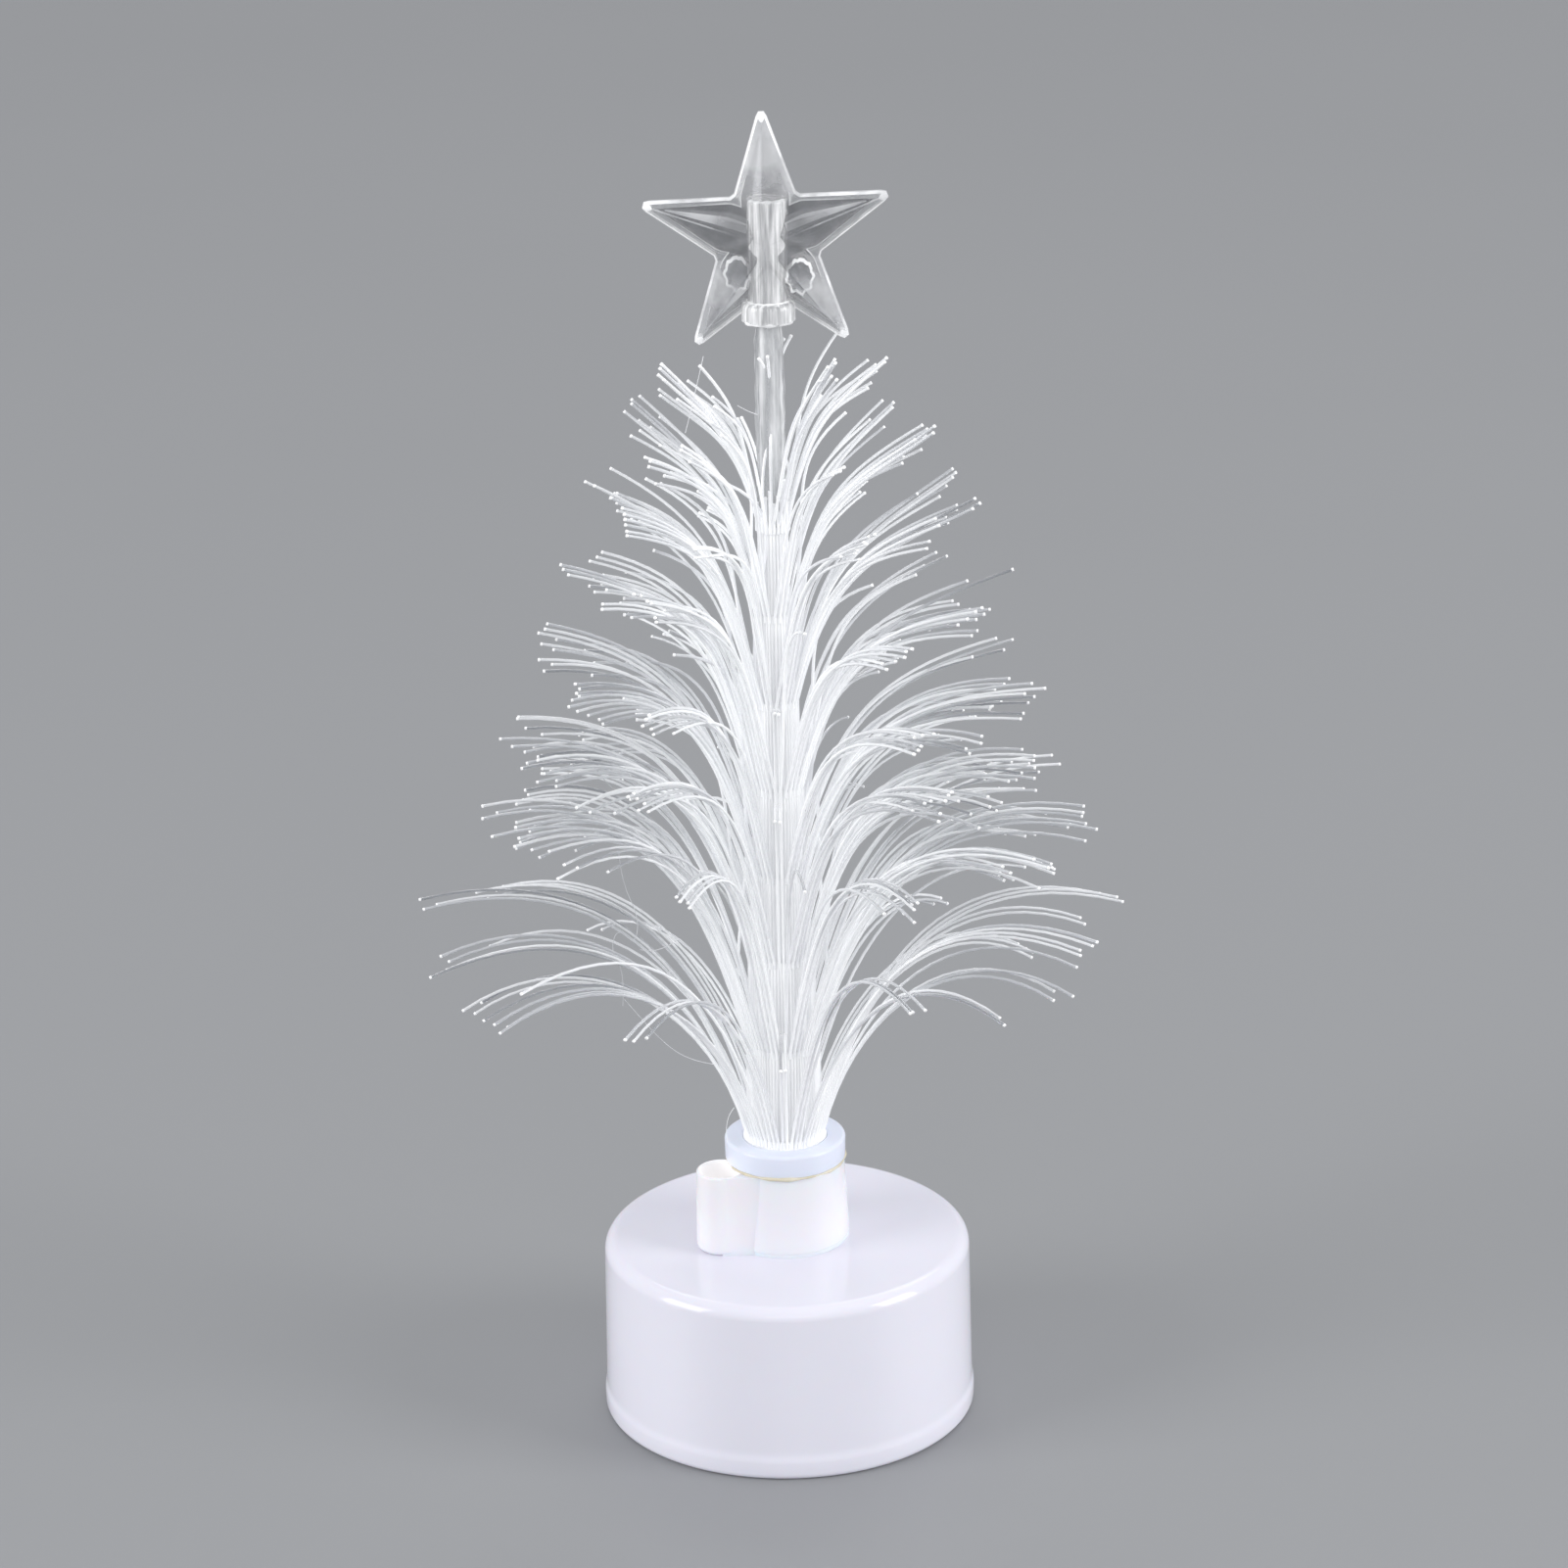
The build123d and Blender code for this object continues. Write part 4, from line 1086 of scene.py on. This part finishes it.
def star_half_solid(front):
    """One solid half: a rim, and for each arm a blunt tip and two faces up to its ridge."""
    corners = star_outline()
    count = len(corners)
    turn = -1 if front else 1
    rows = [(x, turn * y, z + STAR_HEIGHT) for y in (HALF_GAP, STAR_RIM) for x, z in corners]
    out = STAR_RADIUS - RIDGE_START
    height = STAR_RIM + (STAR_DEPTH - STAR_RIM) * RIDGE_START / STAR_RADIUS
    for arm in range(STAR_ARMS):
        tip = arm_angle(arm)
        rows.append((out * cos(tip), turn * height, STAR_HEIGHT + out * sin(tip)))
    rows.append((0, turn * STAR_DEPTH, STAR_HEIGHT))
    mesh = mesh_from("star_half", rows, *star_faces(count))
    work = bmesh.new()
    work.from_mesh(mesh)
    bmesh.ops.recalc_face_normals(work, faces=work.faces)
    work.verts.index_update()
    rim = range(count, 2 * count)
    ridges = range(2 * count, len(rows))
    ends = {edge: [v.index for v in edge.verts] for edge in work.edges}
    outline_edges = [edge for edge, (m, n) in ends.items() if m in rim and n in rim]
    ridge_edges = [edge for edge, (m, n) in ends.items() if m in ridges and n in ridges]
    # The ridges get the painted sheen as a bright line
    bmesh.ops.bevel(work, geom=ridge_edges, offset=RIDGE_BEVEL, segments=2, profile=0.6,
                    affect="EDGES", material=PAINTED_SHEEN)
    outline_edges = [edge for edge in outline_edges if edge.is_valid]
    # The outline's bevel carries the painted edge highlight
    bmesh.ops.bevel(work, geom=outline_edges, offset=EDGE_BEVEL, segments=3, profile=0.5,
                    affect="EDGES", material=EDGE_HIGHLIGHT)
    work.to_mesh(mesh)
    work.free()
    return mesh


def pocket_size(share, u):
    """Half width and half depth of an arm's hollow at a share of its length."""
    valley_x, valley_y = STAR_VALLEY * cos(pi / STAR_ARMS), STAR_VALLEY * sin(pi / STAR_ARMS)
    edge = valley_y - max(u - valley_x, 0) * (valley_y - TIP_HALF_WIDTH) / (STAR_RADIUS - valley_x)
    ridge = STAR_RIM + (STAR_DEPTH - STAR_RIM) * (1 - u / STAR_RADIUS)
    round_end = (1 - (1 - min(share / ROUND_SHARE, 1)) ** 2) ** 0.5
    point = min(max((1 - share) / POINT_SHARE, POINT_LEAST), 1)
    half = max((edge - POCKET_WALL) * round_end, POCKET_LEAST)
    deep = max((ridge - POCKET_WALL_FRONT) * round_end, POCKET_LEAST)
    return half * point, deep * point


def pocket_slot(arm, share, t):
    """The slot of a face of an arm's hollow: edges with a painted highlight, a band with a painted
    sheen, and the rest in painted shade.
    """
    sheen = cos(t) * (-1 if arm in SHEEN_MIRRORED else 1)
    if abs(sin(t)) < POCKET_EDGE_HIGHLIGHT:
        return EDGE_HIGHLIGHT
    lit = SHEEN_ACROSS[0] < sheen < SHEEN_ACROSS[1] and SHEEN_ALONG[0] < share < SHEEN_ALONG[1]
    return PAINTED_SHEEN if lit else POCKET_SHADE


def arm_pocket(arm):
    """The hollow of one arm: pointed towards the tip and round at the socket end."""
    stations, around = POCKET_STATIONS, POCKET_SIDES
    angle = arm_angle(arm)
    points, slots = [], []
    for i in range(stations + 1):
        share = i / stations
        u = POCKET_START + (STAR_RADIUS - POCKET_END - POCKET_START) * share
        half, deep = pocket_size(share, u)
        for k in range(around):
            t = 2 * pi * k / around
            v = half * copysign(abs(cos(t)) ** WIDTH_POWER, cos(t))
            w = deep * copysign(abs(sin(t)) ** DEPTH_POWER, sin(t))
            z = STAR_HEIGHT + u * sin(angle) + v * cos(angle)
            points.append((u * cos(angle) - v * sin(angle), w, z))
    for i in range(stations):
        slots += [pocket_slot(arm, i / stations, 2 * pi * (k + 0.5) / around) for k in range(around)]
    slots += [POCKET_SHADE, POCKET_SHADE]
    mesh = mesh_from("pocket", points, tube_faces(stations + 1, around), slots)
    return cleaned(mesh, 1e-3)


def star():
    """The two halves, hollowed in each arm and bored for the socket."""
    low = STAR_HEIGHT - SOCKET_DROP - WAY_BELOW
    top = STAR_HEIGHT + SOCKET_RISE + SOCKET_GAP
    for name, front in (("star_front", True), ("star_back", False)):
        cuts = [arm_pocket(arm) for arm in range(STAR_ARMS)]
        cuts.append(plug("way", SOCKET_TUBE + SOCKET_GAP, low, top, 64))
        cuts.append(plug("neck_way", NECK_RADIUS + NECK_GAP, low, STAR_HEIGHT + NECK_WAY_TOP, 64))
        half = star_half_solid(front)
        for item in (star_clear, star_edge_highlight, star_pocket_shade, star_painted_sheen):
            half.materials.append(item)
        piece = link(f"{name}_skin", boolean(half, cuts), [])
        sharp_by_angle(piece, 24)
        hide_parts(name)


def star_socket():
    """The socket's tube and neck, bored for the stem."""
    low = STAR_HEIGHT - SOCKET_DROP
    top = STAR_HEIGHT + SOCKET_RISE
    neck_top = STAR_HEIGHT + NECK_TOP
    stem_way, stem_end = STEM_RADIUS + SOCKET_GAP, STEM_TOP + STEM_INSET
    mesh = lathe("star_socket_skin", [
        (stem_way, low),
        *foot_round(NECK_RADIUS, low, NECK_ROUND_LOW, 5),
        *top_round(NECK_RADIUS, neck_top, NECK_ROUND_TOP, 8),
        (SOCKET_TUBE, neck_top + NECK_STEP),
        *top_round(SOCKET_TUBE, top, SOCKET_CAP_ROUND, 4),
        (0, top), (0, stem_end), (stem_way, stem_end),
    ], 96)
    socket = link("star_socket_skin", mesh, [socket_clear])
    sharp_by_angle(socket, 40)
    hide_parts("star_socket")


def socket_lips():
    """The uneven lips round the socket's top and its neck, bright with a painted highlight."""
    for name, radius, height, size in LIPS:
        mesh = ring(name, radius, STAR_HEIGHT + height, lambda a: size * (1 + waves(a, LIP_WAVES)))
        lip = link(name, mesh, [star_edge_highlight])


def torn_edge(a, side):
    """How far a lump's torn edge reaches at an angle, as a share of its size."""
    notch = LUMP_NOTCH * abs(sin(LUMP_NOTCHES * a + side))
    return 1 + notch + waves(a, ((0.07, 9, 2 * side), (0.03, 17, 0)))


def glue_lumps():
    """Two lumps of set glue beside the socket, with torn wavy edges."""
    points, faces, slots = [], [], []
    for side, centre, size in LUMPS:
        first = len(points)
        for i in range(LUMP_RINGS + 1):
            t = pi * i / LUMP_RINGS
            for k in range(LUMP_SIDES):
                a = 2 * pi * k / LUMP_SIDES
                out = sin(t) ** LUMP_FULLNESS * torn_edge(a, side)
                y = LUMP_Y - LUMP_DEPTH * cos(t) + LUMP_RIPPLE * sin(LUMP_NOTCHES * a + i)
                z = STAR_HEIGHT + centre[1] + size[1] * out * sin(a)
                points.append((centre[0] + size[0] * out * cos(a), y, z))
            if i < LUMP_RINGS:
                # The rings near a lump's edge carry the painted highlight
                slots += [1 if i in LUMP_EDGE_RINGS else 0] * LUMP_SIDES
        faces += tube_faces(LUMP_RINGS + 1, LUMP_SIDES, first)
        slots += [0, 0]
    mesh = mesh_from("star_glue_lumps", points, faces, slots)
    piece = link("star_glue_lumps", mesh, [glue_clear, star_edge_highlight])
    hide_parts("star_glue")


star()
star_socket()
socket_lips()
glue_lumps()


# Floor and lights, in metres and watts
FLOOR_REACH = 3
LAMPS = (
    ("left", (-1.56, -0.64, 0.6), (0, 0, 0.05), (0.9, 1.1), 16.4),
    ("right", (1.56, -0.54, 0.6), (0, 0, 0.06), (0.8, 1.1), 17.2),
    ("back", (0.2, 1.2, 1.4), (0, 0, 0.08), (1.4, 0.6), 4.0),
    ("front", (0.0, -1.8, 1.0), (0, 0, 0.06), (1.2, 0.4), 2.0),
)
SKY_LIGHT = (0.93, 0.945, 0.98, 1)
SKY_STRENGTH = 0.72
SKY_SEEN = (0.36, 0.365, 0.375, 1)


def plain_floor():
    """The plain grey floor."""
    far = FLOOR_REACH
    points = [(-far, -far, 0), (far, -far, 0), (far, far, 0), (-far, far, 0)]
    mesh = mesh_from("floor", points, [(0, 1, 2, 3)])
    mesh.materials.append(floor_grey)
    floor = placed("floor", mesh)


def area_light(name, place, target, size, energy):
    """A white area light that shines from a place towards a target."""
    lamp = bpy.data.lights.new(name, "AREA")
    lamp.shape = "RECTANGLE"
    lamp.size, lamp.size_y = size
    lamp.energy = energy
    holder = placed(name, lamp)
    holder.location = place
    holder.rotation_euler = (Vector(target) - Vector(place)).to_track_quat("-Z", "Y").to_euler()


def sky():
    """A bright sky that the camera, mirrors and clear plastic see as grey."""
    world = bpy.data.worlds.new("studio")
    bpy.context.scene.world = world
    world.use_nodes = True
    nodes, links = world.node_tree.nodes, world.node_tree.links
    light_sky = nodes["Background"]
    light_sky.inputs["Color"].default_value = SKY_LIGHT
    light_sky.inputs["Strength"].default_value = SKY_STRENGTH
    seen_sky = nodes.new("ShaderNodeBackground")
    seen_sky.inputs["Color"].default_value = SKY_SEEN
    path = nodes.new("ShaderNodeLightPath")
    seen = path.outputs["Is Camera Ray"]
    for kind in ("Is Glossy Ray", "Is Transmission Ray"):
        either = nodes.new("ShaderNodeMath")
        either.operation = "MAXIMUM"
        links.new(seen, either.inputs[0])
        links.new(path.outputs[kind], either.inputs[1])
        seen = either.outputs["Value"]
    mix = nodes.new("ShaderNodeMixShader")
    links.new(seen, mix.inputs["Fac"])
    links.new(light_sky.outputs["Background"], mix.inputs[1])
    links.new(seen_sky.outputs["Background"], mix.inputs[2])
    links.new(mix.outputs["Shader"], nodes["World Output"].inputs["Surface"])


plain_floor()
for lamp in LAMPS:
    area_light(*lamp)
sky()


# Camera: the photograph's view, with distances in millimetres and turns in degrees
IMAGE_SIZE = 1601
FOCAL_PIXELS = 4912.3
SENSOR_WIDTH = 36.0
CLIP_START = 10
DISTANCE = 500.0
TARGET_HEIGHT = 70.0
ELEVATION = 19.94
ROLL = 1.148
YAW = 0.0726
PITCH = 0.0617


def turned(first, second, angle):
    """Two axes turned by an angle in their plane."""
    return first * cos(angle) - second * sin(angle), first * sin(angle) + second * cos(angle)


def camera():
    """The camera, aimed at the axis and then turned a little about its own axes."""
    e, roll, yaw, pitch = (radians(v) for v in (ELEVATION, ROLL, YAW, PITCH))
    place = Vector((0, -DISTANCE * cos(e), TARGET_HEIGHT + DISTANCE * sin(e)))
    ahead = Vector((0, cos(e), -sin(e)))
    right = Vector((1, 0, 0))
    up = right.cross(ahead)
    right, ahead = turned(right, ahead, yaw)
    up, ahead = turned(up, ahead, pitch)
    right, up = turned(right, up, roll)
    lens = bpy.data.cameras.new("camera")
    lens.sensor_fit = "HORIZONTAL"
    lens.sensor_width = SENSOR_WIDTH
    lens.lens = FOCAL_PIXELS / IMAGE_SIZE * SENSOR_WIDTH
    lens.clip_start = CLIP_START * MM
    holder = placed("camera", lens)
    columns = Matrix((right, up, -ahead)).transposed().to_4x4()
    columns.translation = place * MM
    holder.matrix_world = columns
    bpy.context.scene.camera = holder


camera()
bpy.context.scene.view_settings.view_transform = "Standard"
